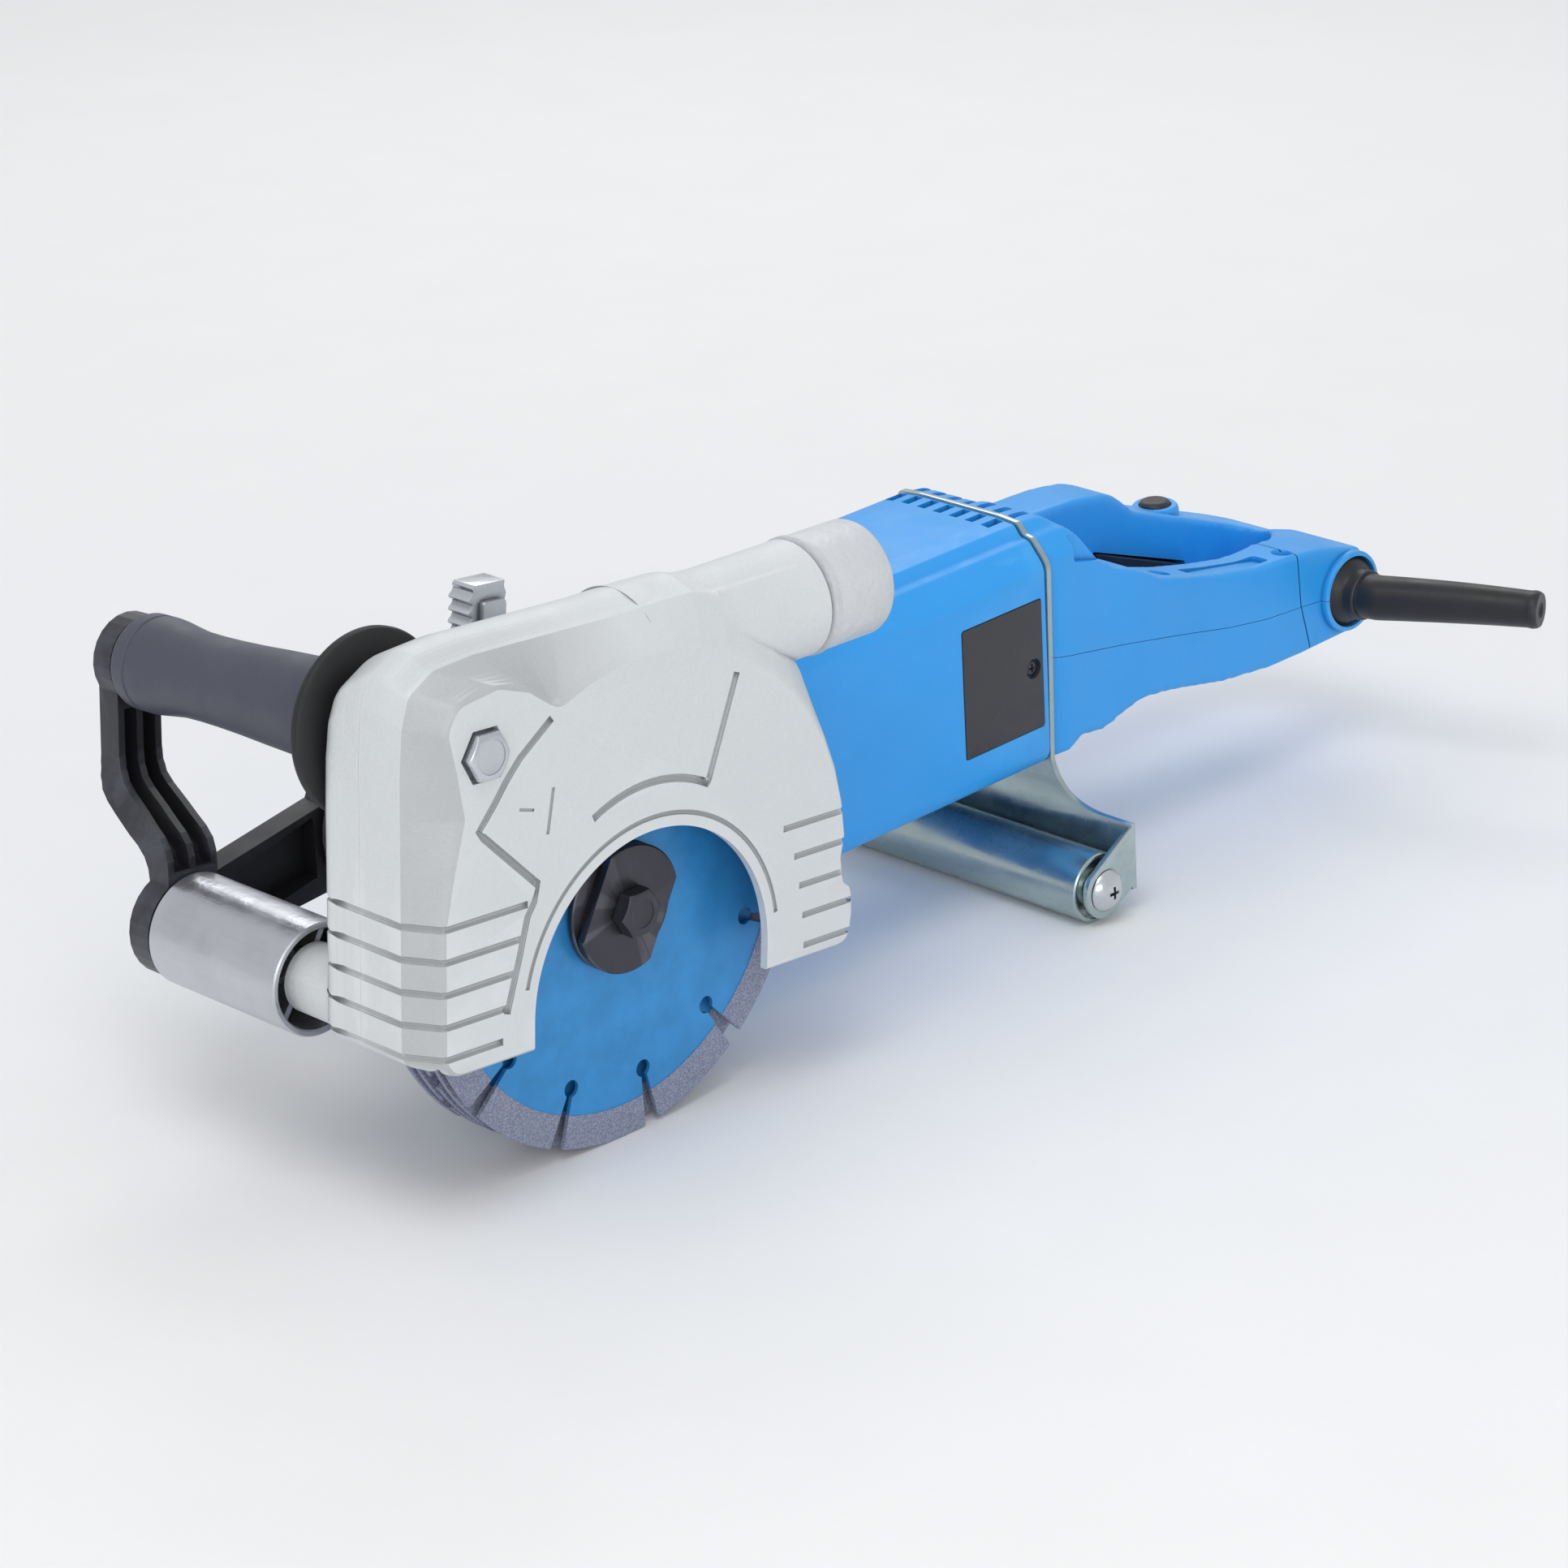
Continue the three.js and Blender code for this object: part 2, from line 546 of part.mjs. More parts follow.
const supportPlate = () => {
  const mirror = (points) => points.map(([y, z]) => [2 * MOTOR_Y - y, z]).reverse();
  const wing = [
    [SECTION.y0 + 0.5, -46], [38.6, -52], [35, -58], [28, -63.5], [20, -66], [EAR_NEAR, -66],
    [EAR_NEAR, PLATE.z1],
  ];
  const crown = roundedBox(SECTION.y0 + 0.5, SECTION.y1 - 0.5, SECTION.z0, SECTION.z1 - 0.5, 15, 4).slice(8, 20);
  const outline = [...wing, ...mirror(wing), ...crown.slice(2, 10)];
  const sheet = cut(
    prismX(outline, PLATE.x0, PLATE.x1),
    prismX(roundedBox(56, 120, -30, 34, 10, 3), PLATE.x0 - 1, PLATE.x1 + 1),
  );
  const { x, z } = REAR_ROLLER;
  const ear = [[PLATE.x1, -66], ...arc(x, z, 12, 140, 290, 8), [PLATE.x1, PLATE.z1 - 3]];
  return cut(
    join(sheet, prismY(ear, EAR_NEAR, EAR_NEAR + 2.5), prismY(ear, EAR_FAR - 2.5, EAR_FAR)),
    cylinderY(3.4, EAR_NEAR - 1, EAR_FAR + 1, x, z, 16),
  );
};
piece(motorUnit, 'rear_support_plate', supportPlate(), zincSteel);

const atRearAxle = (profile, sides) => turnY(profile, REAR_ROLLER.x, REAR_ROLLER.z, sides);
const axleStart = EAR_NEAR + 2.5 + GAP;
const axleEnd = EAR_FAR - 2.5 - GAP;
const axleSolid = cut(
  atRearAxle([[0, axleStart], [6, axleStart], [6, axleEnd], [0, axleEnd]], 20),
  cylinderY(2.6, axleStart - 1, axleStart + 16, REAR_ROLLER.x, REAR_ROLLER.z, 12),
  cylinderY(2.6, axleEnd - 16, axleEnd + 1, REAR_ROLLER.x, REAR_ROLLER.z, 12),
);
piece(motorUnit, 'rear_axle', axleSolid, plainSteel);

const domedScrew = (faceY, outward) => {
  const dome = [[0, 4.6], [5, 4], [8.3, 1.7], [9, 0], [2.3, 0], [2.3, -17], [0, -17]];
  return atRearAxle(dome.map(([r, y]) => [r, faceY + outward * y]), 16);
};
piece(motorUnit, 'rear_axle_screw_near', domedScrew(EAR_NEAR - GAP, -1), brightZinc);
piece(motorUnit, 'rear_axle_screw_far', domedScrew(EAR_FAR + GAP, 1), brightZinc);

piece(motorUnit, 'rear_roller', atRearAxle([
  [6.3, 3], [12.9, 3], [12.9, 1.4], [REAR_ROLLER.radius, 1.4], [REAR_ROLLER.radius, 174.6], [12.9, 174.6],
  [12.9, 173], [6.3, 173], [6.3, 161], [12.9, 161], [12.9, 15], [6.3, 15],
], 24), zincSteel);

// ---------------------------------------------------------------- rear handle

// A closed D seen from above: the near bar runs low and level, the far bar carries trigger and lock button.
const handleTopNear = [
  [HANDLE_START, 49.5], [300, 48.5], [307, 45], [312, 40], [317, 34], [322, 28], [334, 21], [345, 17], [362, 8],
  [380, 2.5], [403, -3], [426, -7.5], [450, -9], [470, -12], [485, -16], [498, -20], [TAIL_END, -27],
];
const handleTopFar = [
  [HANDLE_START, 49.5], [300, 47], [307, 42], [322, 32], [345, 26], [363, 25.5], [380, 24.5], [395, 22], [403, 19],
  [409, 14], [415, 8.5], [430, 2.5], [461, -9], [480, -16], [498, -23], [TAIL_END, -30],
];
const handleUnder = [
  [TAIL_END, -48], [500, -55.5], [480, -56.5], [455, -57], [431, -56], [405, -53], [372, -46], [352, -42.5],
  [344, -42.5], [320, -47], [306, -45], [296, -49], [HANDLE_START, -49.5],
];
const handlePlan = [
  [HANDLE_START, 40.5], [330, 43], [380, 45], [450, 46.5], [490, 46.5], [503, 50], [TAIL_END, 62], [TAIL_END, 108],
  [503, 122], [490, 129], [460, 131.5], [420, 133], [340, 133.5], [HANDLE_START, 135.5],
];
const handHole = [
  [326, 74], [334, 69], [350, 68], [440, 69], [466, 73], [480, 84], [482, 92], [474, 101], [455, 106], [380, 107],
  [345, 107], [330, 103], [324, 92],
];
const handleSeam = [
  [280, -3], [294, -5.5], [337, -13.7], [369, -20.5], [406, -28.6], [431, -32.7], [475, -GLAND.drop], [530, -GLAND.drop],
];
const handleBody = () => {
  const near = prismY([...handleTopNear, ...handleUnder].reverse(), 30, MOTOR_Y);
  const far = prismY([...handleTopFar, ...handleUnder].reverse(), MOTOR_Y, 145);
  const rounded = prismX(sectionOutline(0), HANDLE_START - 1, TAIL_END + 1);
  const envelope = join(rounded, box(HANDLE_START - 1, TAIL_END + 1, 30, 150, -100, -30));
  return join(near, far).intersect(prismZ(handlePlan, -120, 80)).intersect(envelope)
    .subtract(prismZ(handHole, -130, 90));
};

const TRIGGER = { x0: 388, x1: 446, top: -3, fall: 22, height: 17, y1: 112, travel: 6 };
const triggerBand = (grow) => {
  const { x0, x1, top, fall, height } = TRIGGER;
  return [
    [x0 - grow, top + grow], [x0 - grow, top - height - grow],
    [x1 + grow, top - fall - height - grow], [x1 + grow, top - fall + grow],
  ];
};
const LOCK = { x: 446, y: 122, radius: 7, top: 1.4, travel: 3 };
const SWITCH = { x0: 398, x1: 436, y0: 119.5, y1: 128, z0: -38, z1: -17 };
const PLUNGER = { x: 426, z: -26, radius: 2.6 };
const CORD_BAR = { x0: 477, x1: 497, y0: 66, y1: 76, z0: -47, z1: -41 };

const heightAt = (line, x) => {
  const i = line.findIndex(([u]) => u > x);
  const [[u0, v0], [u1, v1]] = [line[i - 1], line[i]];
  return v0 + ((v1 - v0) * (x - u0)) / (u1 - u0);
};
const SCREW_SINK = 8; // depth of a screw's seat below the handle's surface
const HEAD_RADIUS = 3.4;
const SHANK_RADIUS = 1.9;
const under = [...handleUnder].reverse();
const fromAbove = (x, y) => ({ x, y, seat: heightAt(handleTopNear, x) - SCREW_SINK, way: -1, length: 34 });
const fromBelow = (x, y, length) => ({ x, y, seat: heightAt(under, x) + SCREW_SINK, way: 1, length });
const SCREWS = [
  fromAbove(372, 55), fromAbove(450, 53), fromBelow(494, 88, 22), fromBelow(381, 126, 32), fromBelow(322, 118, 32),
];
const upright = (radius, from, to, x, y, sides) =>
  cylinderZ(radius, Math.min(from, to), Math.max(from, to), x, y, sides);
const screwHole = ({ x, y, seat, way, length }) => join(
  upright(SHANK_RADIUS + GAP, seat - way, seat + way * (length + 1), x, y, 8),
  upright(HEAD_RADIUS + 0.4, seat, seat - way * 60, x, y, 10),
);
const handleScrew = ({ x, y, seat, way, length }) => join(
  upright(HEAD_RADIUS, seat - way * GAP, seat - way * 3, x, y, 10),
  upright(SHANK_RADIUS, seat - way, seat + way * length, x, y, 8),
);

const glandAxis = [GLAND.x, -GLAND.drop];
const handleShell = () => {
  const outer = join(
    handleBody(),
    cylinderZ(10.5, -20, -0.6, LOCK.x, LOCK.y, 24),
    cylinderY(18.2, 43.5, 60, ...glandAxis, 32),
  );
  const wireRoom = box(HANDLE_START - 1, 306, 50, 126, -36, 32);
  const triggerPocket = prismY(triggerBand(1), 90, TRIGGER.y1 + TRIGGER.travel + 1.2);
  const switchPocket = box(SWITCH.x0 - GAP, SWITCH.x1 + GAP, SWITCH.y0 - 1, SWITCH.y1 + GAP,
    SWITCH.z0 - GAP, SWITCH.z1 + GAP);
  const clampPocket = box(CORD_BAR.x0 - GAP, CORD_BAR.x1 + GAP, 60, CORD_BAR.y1 + GAP, CORD_BAR.z0 - GAP, -28);
  return cut(outer, wireRoom, triggerPocket, switchPocket, clampPocket,
    ...SCREWS.map(screwHole),
    cylinderZ(LOCK.radius + 0.4, -8.6 - LOCK.travel, 10, LOCK.x, LOCK.y, 24),
    cylinderZ(3.4, -16.6 - LOCK.travel, -8, LOCK.x, LOCK.y, 12),
    cylinderY(16, 40, 47.1, ...glandAxis, 32),
    cylinderY(12.4, 46, 62.3, ...glandAxis, 24),
  );
};
const splitLine = (lift) => handleSeam.map(([x, z]) => [x, z + lift]);
const shellSolid = handleShell();
const aboveSeam = prismY([...splitLine(GAP / 2), [530, 100], [280, 100]], 20, 150);
const belowSeam = prismY([...splitLine(-GAP / 2), [530, -140], [280, -140]], 20, 150);
piece(motorUnit, 'handle_upper', shellSolid.intersect(aboveSeam), bluePlastic);
piece(motorUnit, 'handle_lower', shellSolid.intersect(belowSeam), bluePlastic);
SCREWS.forEach((place, i) => piece(motorUnit, `handle_screw_${i + 1}`, handleScrew(place), darkSteel));

const triggerPlan = [
  [TRIGGER.x0, TRIGGER.y1], [TRIGGER.x0, 105], [TRIGGER.x0 + 8, 101], [TRIGGER.x1 - 12, 99.5],
  [TRIGGER.x1 - 2, 101.5], [TRIGGER.x1, 106], [TRIGGER.x1, TRIGGER.y1],
];
piece(motorUnit, 'trigger', prismZ(triggerPlan, -60, 10).intersect(prismY(triggerBand(0), 90, 120)), blackPlastic);
piece(motorUnit, 'switch_body',
  cut(box(SWITCH.x0, SWITCH.x1, SWITCH.y0, SWITCH.y1, SWITCH.z0, SWITCH.z1),
    cylinderY(PLUNGER.radius + 0.4, SWITCH.y0 - 1, SWITCH.y1 - 1, PLUNGER.x, PLUNGER.z, 10)), blackPlastic);
piece(motorUnit, 'switch_plunger',
  cylinderY(PLUNGER.radius, TRIGGER.y1 + GAP, SWITCH.y0 + 1, PLUNGER.x, PLUNGER.z, 10), plainSteel);

const lockButton = join(
  cylinderZ(LOCK.radius, -8, LOCK.top, LOCK.x, LOCK.y, 24), cylinderZ(3, -16, -7, LOCK.x, LOCK.y, 12));
piece(motorUnit, 'lock_button', lockButton, blackPlastic);

// ---------------------------------------------------------------- cable entry

const glandSolid = turnY([
  [5, 62], [12.1, 62], [12.1, 46.8], [15.7, 46.8], [15.7, 44.8], [11.3, 40.5], [11.3, GLAND.y], [5, GLAND.y],
], ...glandAxis, 24);
piece(motorUnit, 'cable_gland', glandSolid, blackPlastic);

// The cable guard leaves the handle's near side and leans to the rear; it tapers to a beaded, dished end.
const CABLE_GUARD = { reach: 74.7, lean: 27.2, straight: 0.08, lift: 5.6, sag: 2.6, mouth: 5 };
const tubeCentre = (t) => new THREE.Vector3(
  GLAND.x + CABLE_GUARD.lean * Math.max(0, t - CABLE_GUARD.straight),
  GLAND.y - GAP - CABLE_GUARD.reach * t,
  -GLAND.drop + CABLE_GUARD.lift * t - CABLE_GUARD.sag * t * t,
);
const sweep = (radiusAt, steps, sides) => {
  const sections = [];
  for (let s = 0; s <= steps; s++) {
    const t = s / steps;
    const centre = tubeCentre(t);
    const along = s === 0
      ? new THREE.Vector3(0, -1, 0)
      : tubeCentre(Math.min(1, t + 0.01)).sub(tubeCentre(t - 0.01)).normalize();
    const across = new THREE.Vector3(0, 0, 1).cross(along).normalize();
    const up = along.clone().cross(across);
    sections.push(Array.from({ length: sides }, (_, i) => {
      const angle = (i * 2 * Math.PI) / sides;
      const offset = across.clone().multiplyScalar(Math.cos(angle)).addScaledVector(up, Math.sin(angle));
      return centre.clone().addScaledVector(offset, radiusAt(t)).toArray();
    }));
  }
  return loft(sections);
};
const guardTube = (t) => (t > 0.94 ? 8.4 : 10.1 - 1.4 * t - 0.7 * t * t);
const mouth = asSolid(new THREE.SphereGeometry(CABLE_GUARD.mouth, 10, 8).translate(...tubeCentre(1).toArray()));
piece(motorUnit, 'cable_guard', cut(sweep(guardTube, 16, 16), mouth), blackPlastic);
piece(motorUnit, 'cord_clamp', cut(box(CORD_BAR.x0, CORD_BAR.x1, CORD_BAR.y0, CORD_BAR.y1, CORD_BAR.z0, CORD_BAR.z1),
  cylinderZ(1.8, -60, -30, CORD_BAR.x0 + 3.5, 71, 8), cylinderZ(1.8, -60, -30, CORD_BAR.x1 - 3.5, 71, 8)), blackPlastic);

// ---------------------------------------------------------------- guard

const CLAMP = { x: -24, z: 48, y: 47 };

// outline of the open side, and the fuller outline of the body behind the sloping shoulder
const faceOutline = [
  [-99, GUARD_BOTTOM], [-104, -29], [-104, 22], [-100, 42], [-95, 61], [-99, 80], [-103, 95], [-97, 104],
  [-78, 107], [-63, 102.5], [-52.6, 95.6],
  ...arc(-3, 1, 103, 116, 4, 14),
  [98, 0], [99.5, -11.5], [104, -13], [104.5, -24], [103, GUARD_BOTTOM],
];
const bodyOutline = [
  [-107, GUARD_BOTTOM + 2], [GUARD_FRONT, -29], [GUARD_FRONT, 22], [GUARD_FRONT, 42], [GUARD_FRONT, 61],
  [GUARD_FRONT, 80], [GUARD_FRONT + 1, 98], [GUARD_FRONT + 4, 110], [-97, GUARD_ROOF - 2], [-78, GUARD_ROOF],
  [-56, GUARD_ROOF],
  [-40, GUARD_ROOF], [-26, GUARD_ROOF], [-12, GUARD_ROOF], [2, GUARD_ROOF + 0.5], [16, GUARD_ROOF + 1],
  [30, GUARD_ROOF + 1], [44, 117], [57, 110], [69, 100], [79, 88], [87, 75], [93, 61], [97.5, 46], [100.5, 31],
  [102.5, 16],
  [103.5, 0], [104, -11.5], [105.5, -13], [105.5, -24], [104, GUARD_BOTTOM],
];
// the roof is a rounded ridge over the dust duct, so every section away from the duct is lower
const roofed = (drop, side = 0) => bodyOutline.map(([x, z]) => {
  const share = THREE.MathUtils.clamp((z - 62) / 50, 0, 1);
  return [x * (1 - (side + 0.05 * drop * share) / 110), z - drop * share];
});
const at = (points, y) => points.map(([x, z]) => [x, y, z]);

const pitched = (solid) => solid
  .rotate([0, -DUCT_PITCH / DEG, 0])
  .translate([0, DUCT_Y, DUCT_Z]);

const guardShell = () => {
  const body = loft([
    at(faceOutline, GUARD_NEAR),
    at(roofed(4), -8),
    at(roofed(0), DUCT_Y),
    at(roofed(5), 22),
    at(roofed(12), 31),
    at(roofed(20, 3), GUARD_FAR),
  ]);
  const duct = pitched(cylinderX(DUCT_RADIUS, 10, DUCT_END, 0, 0, 28));
  const rollerBoss = cylinderY(13.5, GUARD_FAR - 4, FRONT_ROLLER.y0 + 4, FRONT_ROLLER.x, FRONT_ROLLER.z, 32)
    .intersect(box(-130, 0, 0, 80, -60, 60));
  const gripSeat = cylinderY(17, GUARD_FAR - 6, GUARD_FAR + 1.5, GRIP_X, GRIP_Z - 3, 28);
  const clampRing = cylinderY(38, GUARD_FAR - 4, 50, 0, 0, 40);
  const clampEars = box(-13, 14, GUARD_FAR - 4, 51.6, 30, 55);

  const chamberSide = [
    [-108, GUARD_BOTTOM - 5], [-108, 92], [-100, 106], [-90, 110], [30, 110],
    ...arc(0, 0, CHAMBER_RADIUS - 1, 62, -22, 8), [CHAMBER_RADIUS - 2, GUARD_BOTTOM - 5],
  ];
  const chamber = prismY(chamberSide, GUARD_NEAR + GUARD_WALL, GUARD_FAR - GUARD_WALL);
  const slope = loft([
    at(inset(faceOutline, 4), GUARD_NEAR),
    at(inset(roofed(4), 4), -8),
    at(inset(roofed(0), 4), DUCT_Y),
    at(inset(roofed(5), 4), 22),
    at(inset(roofed(12), 4), 31),
    at(inset(roofed(20), 4), GUARD_FAR + 5),
  ]);
  const belowFloor = box(-104, 99, GUARD_NEAR + GUARD_WALL, GUARD_FAR - GUARD_WALL, -60, GUARD_BOTTOM + 8);
  const archSide = [[-58, -60], ...arc(-1, -24.4, 59.5, 180, 0, 22), [58, -60]];
  return cut(
    join(body, duct, rollerBoss, gripSeat, clampRing, clampEars),
    chamber.intersect(slope),
    belowFloor,
    pitched(cylinderX(DUCT_BORE, 0, DUCT_END + 5, 0, 0, 24)),
    prismY(archSide.reverse(), GUARD_NEAR - 5, GUARD_NEAR + GUARD_WALL + 5),
    cylinderY(NECK_RADIUS + 0.6, GUARD_FAR - 10, 60, 0, 0, 48),
    box(-2, 2, GUARD_FAR - GUARD_WALL - 2, 60, 20, 70),
    cylinderX(3.4, -30, 30, CLAMP.y, CLAMP.z, 12),
    cylinderY(4.4, 0, 80, FRONT_ROLLER.x, FRONT_ROLLER.z, 16),
  );
};

const inGripFrame = (solid) => solid
  .rotate([-GRIP_DROOP / DEG, 0, 0])
  .translate([GRIP_X, GUARD_NEAR, GRIP_Z]);
const boltPassage = inGripFrame(join(
  cylinderY(5.4, -5, 80, 0, 0, 16),
  prismY(hexagon(0, 0, 18.4), -8, 3),
));
const boltSleeve = inGripFrame(cylinderY(11, 0.5, 54, 0, 0, 20));
const guardSolid = cut(join(guardShell(), boltSleeve.intersect(box(-130, 0, GUARD_NEAR + 1, GUARD_FAR, 50, 110))),
  boltPassage);
const nearHalf = box(-150, 150, GUARD_NEAR - 20, GUARD_PARTING - GAP / 2, -80, 160);
const farHalf = box(-150, 150, GUARD_PARTING + GAP / 2, 90, -80, 160);
piece(guardUnit, 'guard_near_shell', guardSolid.intersect(nearHalf), paintedCasting);
piece(guardUnit, 'guard_far_shell', guardSolid.intersect(farHalf), paintedCasting);

const adapter = pitched(turnX([
  [DUCT_BORE - 3, DUCT_END - 18], [DUCT_BORE - GAP, DUCT_END - 18], [DUCT_BORE - GAP, DUCT_END + GAP],
  [DUCT_RADIUS + 0.6, DUCT_END + GAP], [DUCT_RADIUS + 0.6, ADAPTER_END], [DUCT_BORE - 3, ADAPTER_END],
], 0, 0, 28));
piece(guardUnit, 'hose_adapter', adapter, paintedCasting);

// ---------------------------------------------------------------- guard clamp

const leverLean = -2.4;
const clampLever = () => {
  const arm = [[-4, -6], [4, -6], [4, 10], [6, 40], [6, 70], [-5, 70], [-6, 44], [-3.5, 40], [-4, 10]];
  const stem = join(prismY(arm, -4, 4), cylinderY(7.5, -4, 4, 0, 0, 16));
  const pad = [[-8, 44]];
  for (let i = 0; i < 5; i++) pad.push([-10.4, 46 + i * 5], [-8.4, 48.6 + i * 5]);
  pad.push([-8.4, 70], [9, 71], [8, 44]);
  const fork = box(-20, 20, -2.2, 2.2, -10, 9);
  const whole = cut(join(stem, prismY(pad.reverse(), -1, 10.5)), cylinderY(3.3, -10, 10, 0, 0, 12), fork);
  return whole.rotate([0, -leverLean, 0]).translate([CLAMP.x, CLAMP.y, CLAMP.z]);
};
piece(guardUnit, 'clamp_lever', clampLever(), brightZinc);
piece(guardUnit, 'clamp_pin', cylinderY(2.9, CLAMP.y - 6, CLAMP.y + 6, CLAMP.x, CLAMP.z, 12), brightZinc);
const eyeBolt = join(
  cylinderY(5.6, CLAMP.y - 1.9, CLAMP.y + 1.9, CLAMP.x, CLAMP.z, 16),
  cylinderX(3, CLAMP.x + 4, 22, CLAMP.y, CLAMP.z, 12).intersect(
    join(box(-12, 30, 0, 60, 0, 60), box(-30, -12, CLAMP.y - 1.9, CLAMP.y + 1.9, 0, 60))),
  prismX(hexagon(CLAMP.y, CLAMP.z, 10), 14.4, 20),
);
piece(guardUnit, 'clamp_bolt', cut(eyeBolt, cylinderY(3.3, 0, 60, CLAMP.x, CLAMP.z, 12)), zincSteel);

// ---------------------------------------------------------------- front grip

// distances along the grip axis, from the open side of the guard
const GRIP_START = 60.4;
const GRIP_END = 190;
const gripProfile = [
  [5.6, GRIP_START + 5], [17.5, GRIP_START + 5], [18.8, 84], [18, 110], [16.6, 140], [16.6, 160], [18.6, 178],
  [18.6, GRIP_END - 3], [16.8, GRIP_END], [5.6, GRIP_END],
];
const flangeProfile = [
  [5.6, GRIP_START], [20, GRIP_START], [35, GRIP_START - 0.2], [35.6, GRIP_START + 2.4], [33, GRIP_START + 4.7],
  [5.6, GRIP_START + 4.7],
];
const alongGrip = (profile, sides) => turnY(profile, 0, 0, sides);
piece(gripUnit, 'grip_flange', alongGrip(flangeProfile, 28), softRubber);
piece(gripUnit, 'front_grip', alongGrip(gripProfile, 20), softRubber);
piece(gripUnit, 'grip_bolt', join(
  prismY(hexagon(0, 0, 17), -3.4, 2.7),
  alongGrip([[0, 2], [4.9, 2], [4.9, 199], [0, 199]], 16),
), brightZinc);

// ---------------------------------------------------------------- front bracket and roller

// A channel section runs from the grip's outer end, jogs inwards to the roller's outer end,
// and a strut runs back from there to a ring on the spindle axis.
const BRACKET_TOP = { x: GRIP_X, y: 170.6, z: GRIP_Z - 10.1 };
const bracket = () => {
  const y0 = BRACKET_Y - 5;
  const y1 = y0 + BRACKET_DEPTH;
  const topY0 = BRACKET_TOP.y - 1.6;
  const topY1 = topY0 + BRACKET_DEPTH;
  const channel = [
    [topY0, BRACKET_TOP.z], [topY0, 29], [y0, 11], [y0, FRONT_ROLLER.z], [y1, FRONT_ROLLER.z], [y1, 6],
    [topY1, 24], [topY1, BRACKET_TOP.z],
  ];
  const trough = [
    [topY0 - 1, BRACKET_TOP.z - 15], [topY0 - 1, 30], [y0 - 2, 12], [y0 - 2, 3], [y1 - 3, 3],
    [y1 - 3, 8], [topY1 - 3, 26], [topY1 - 3, BRACKET_TOP.z - 15],
  ];
  const edges = [[BRACKET_TOP.z, -98, -77.5], [28, -98, -77.5], [10, -107.5, -84], [FRONT_ROLLER.z, -107.5, -84]];
  const band = (left, right) => prismY(rounded([
    ...edges.map(([z, a, b]) => [left(a, b), z]),
    ...edges.map(([z, a, b]) => [right(a, b), z]).reverse(),
  ], 8), 115, 190);
  const strutOutline = [
    [FRONT_ROLLER.x + 5, FRONT_ROLLER.z + 14], [-24, 12], [-18, -24], [FRONT_ROLLER.x + 8, FRONT_ROLLER.z - 16],
  ];
  const strutPocket = [
    [FRONT_ROLLER.x + 25, FRONT_ROLLER.z + 14], [-33, 7], [-31, -18], [FRONT_ROLLER.x + 25, FRONT_ROLLER.z - 10],
  ];
  const strutY0 = 134;
  const strutY1 = 145;
  return cut(
    join(
      prismX(rounded(channel, 9), -115, -70).intersect(band((a) => a, (a, b) => b)),
      cylinderY(21, y0, y1, FRONT_ROLLER.x, FRONT_ROLLER.z, 28),
      inGripFrame(cylinderY(17.2, GRIP_END + GAP, GRIP_END + GAP + BRACKET_DEPTH - 1, 0, 0, 24)),
      prismY(strutOutline.reverse(), strutY0, strutY1),
      cylinderY(30, strutY0, strutY1, 0, 0, 28),
    ),
    prismX(rounded(trough, 7), -115, -70).intersect(band((a) => a + 3, (a, b) => (a + b) / 2 - 1.5)),
    prismX(rounded(trough, 7), -115, -70).intersect(band((a, b) => (a + b) / 2 + 1.5, (a, b) => b - 3)),
    prismY(strutPocket.reverse(), strutY0 - 1, strutY1 - 3),
    cylinderY(20.5, 120, 160, 0, 0, 28),
    cylinderY(4.5, 120, 160, FRONT_ROLLER.x, FRONT_ROLLER.z, 14),
    cylinderY(9, y1 + 0.1, 160, FRONT_ROLLER.x, FRONT_ROLLER.z, 16),
    inGripFrame(cylinderY(5.3, 185, 210, 0, 0, 14)),
  );
};
piece(guardUnit, 'front_bracket', bracket(), blackPlastic);

const atFrontRoller = (profile, sides) => turnY(profile, FRONT_ROLLER.x, FRONT_ROLLER.z, sides);
piece(guardUnit, 'front_roller_axle', atFrontRoller([
  [0, 37], [4, 37], [4, 140.4], [8, 140.4], [8, 144], [0, 144],
], 16), plainSteel);

const frontRoller = () => {
  const { x, z, radius, y0, y1 } = FRONT_ROLLER;
  const spokes = [0, 60, 120].map((a) => {
    const bar = new THREE.BoxGeometry(2 * radius - 3, y1 - y0 - 12, 2.6);
    bar.rotateY(a * DEG).translate(x, (y0 + 6 + y1 - 1) / 2 - 0.5 + 3, z);
    return asSolid(bar);
  });
  const tube = atFrontRoller(ring(radius - 2.6, radius, y0, y1 - 0.4), 28);
  const hub = cylinderY(9, y0 + 8, y1 - 4, x, z, 14);
  return cut(join(tube, hub, ...spokes), cylinderY(4.3, y0 - 1, y1 + 1, x, z, 14),
    cylinderY(17.6, y0 - 1, y0 + 5, x, z, 32));
};
piece(guardUnit, 'front_roller', frontRoller(), rollerAluminium);

// ---------------------------------------------------------------- bracket pivot on the gear case

piece(motorUnit, 'pivot_screw', turnY([
  [0, 137], [3.9, 137], [3.9, 146.4], [25, 146.4], [25, 148], [8, 148.7], [7, 152.4], [3.5, 153.6], [0, 153.8],
], 0, 0, 20), brightZinc);

export default machine;
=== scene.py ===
"""Wall chaser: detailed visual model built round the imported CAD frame.

Every piece is modelled in millimetres in the frame that it belongs to (motor unit, guard, dust duct or
front grip) and then placed in the row frame, in metres. +X points to the cable, -Y to the open side of
the guard.
"""
import math

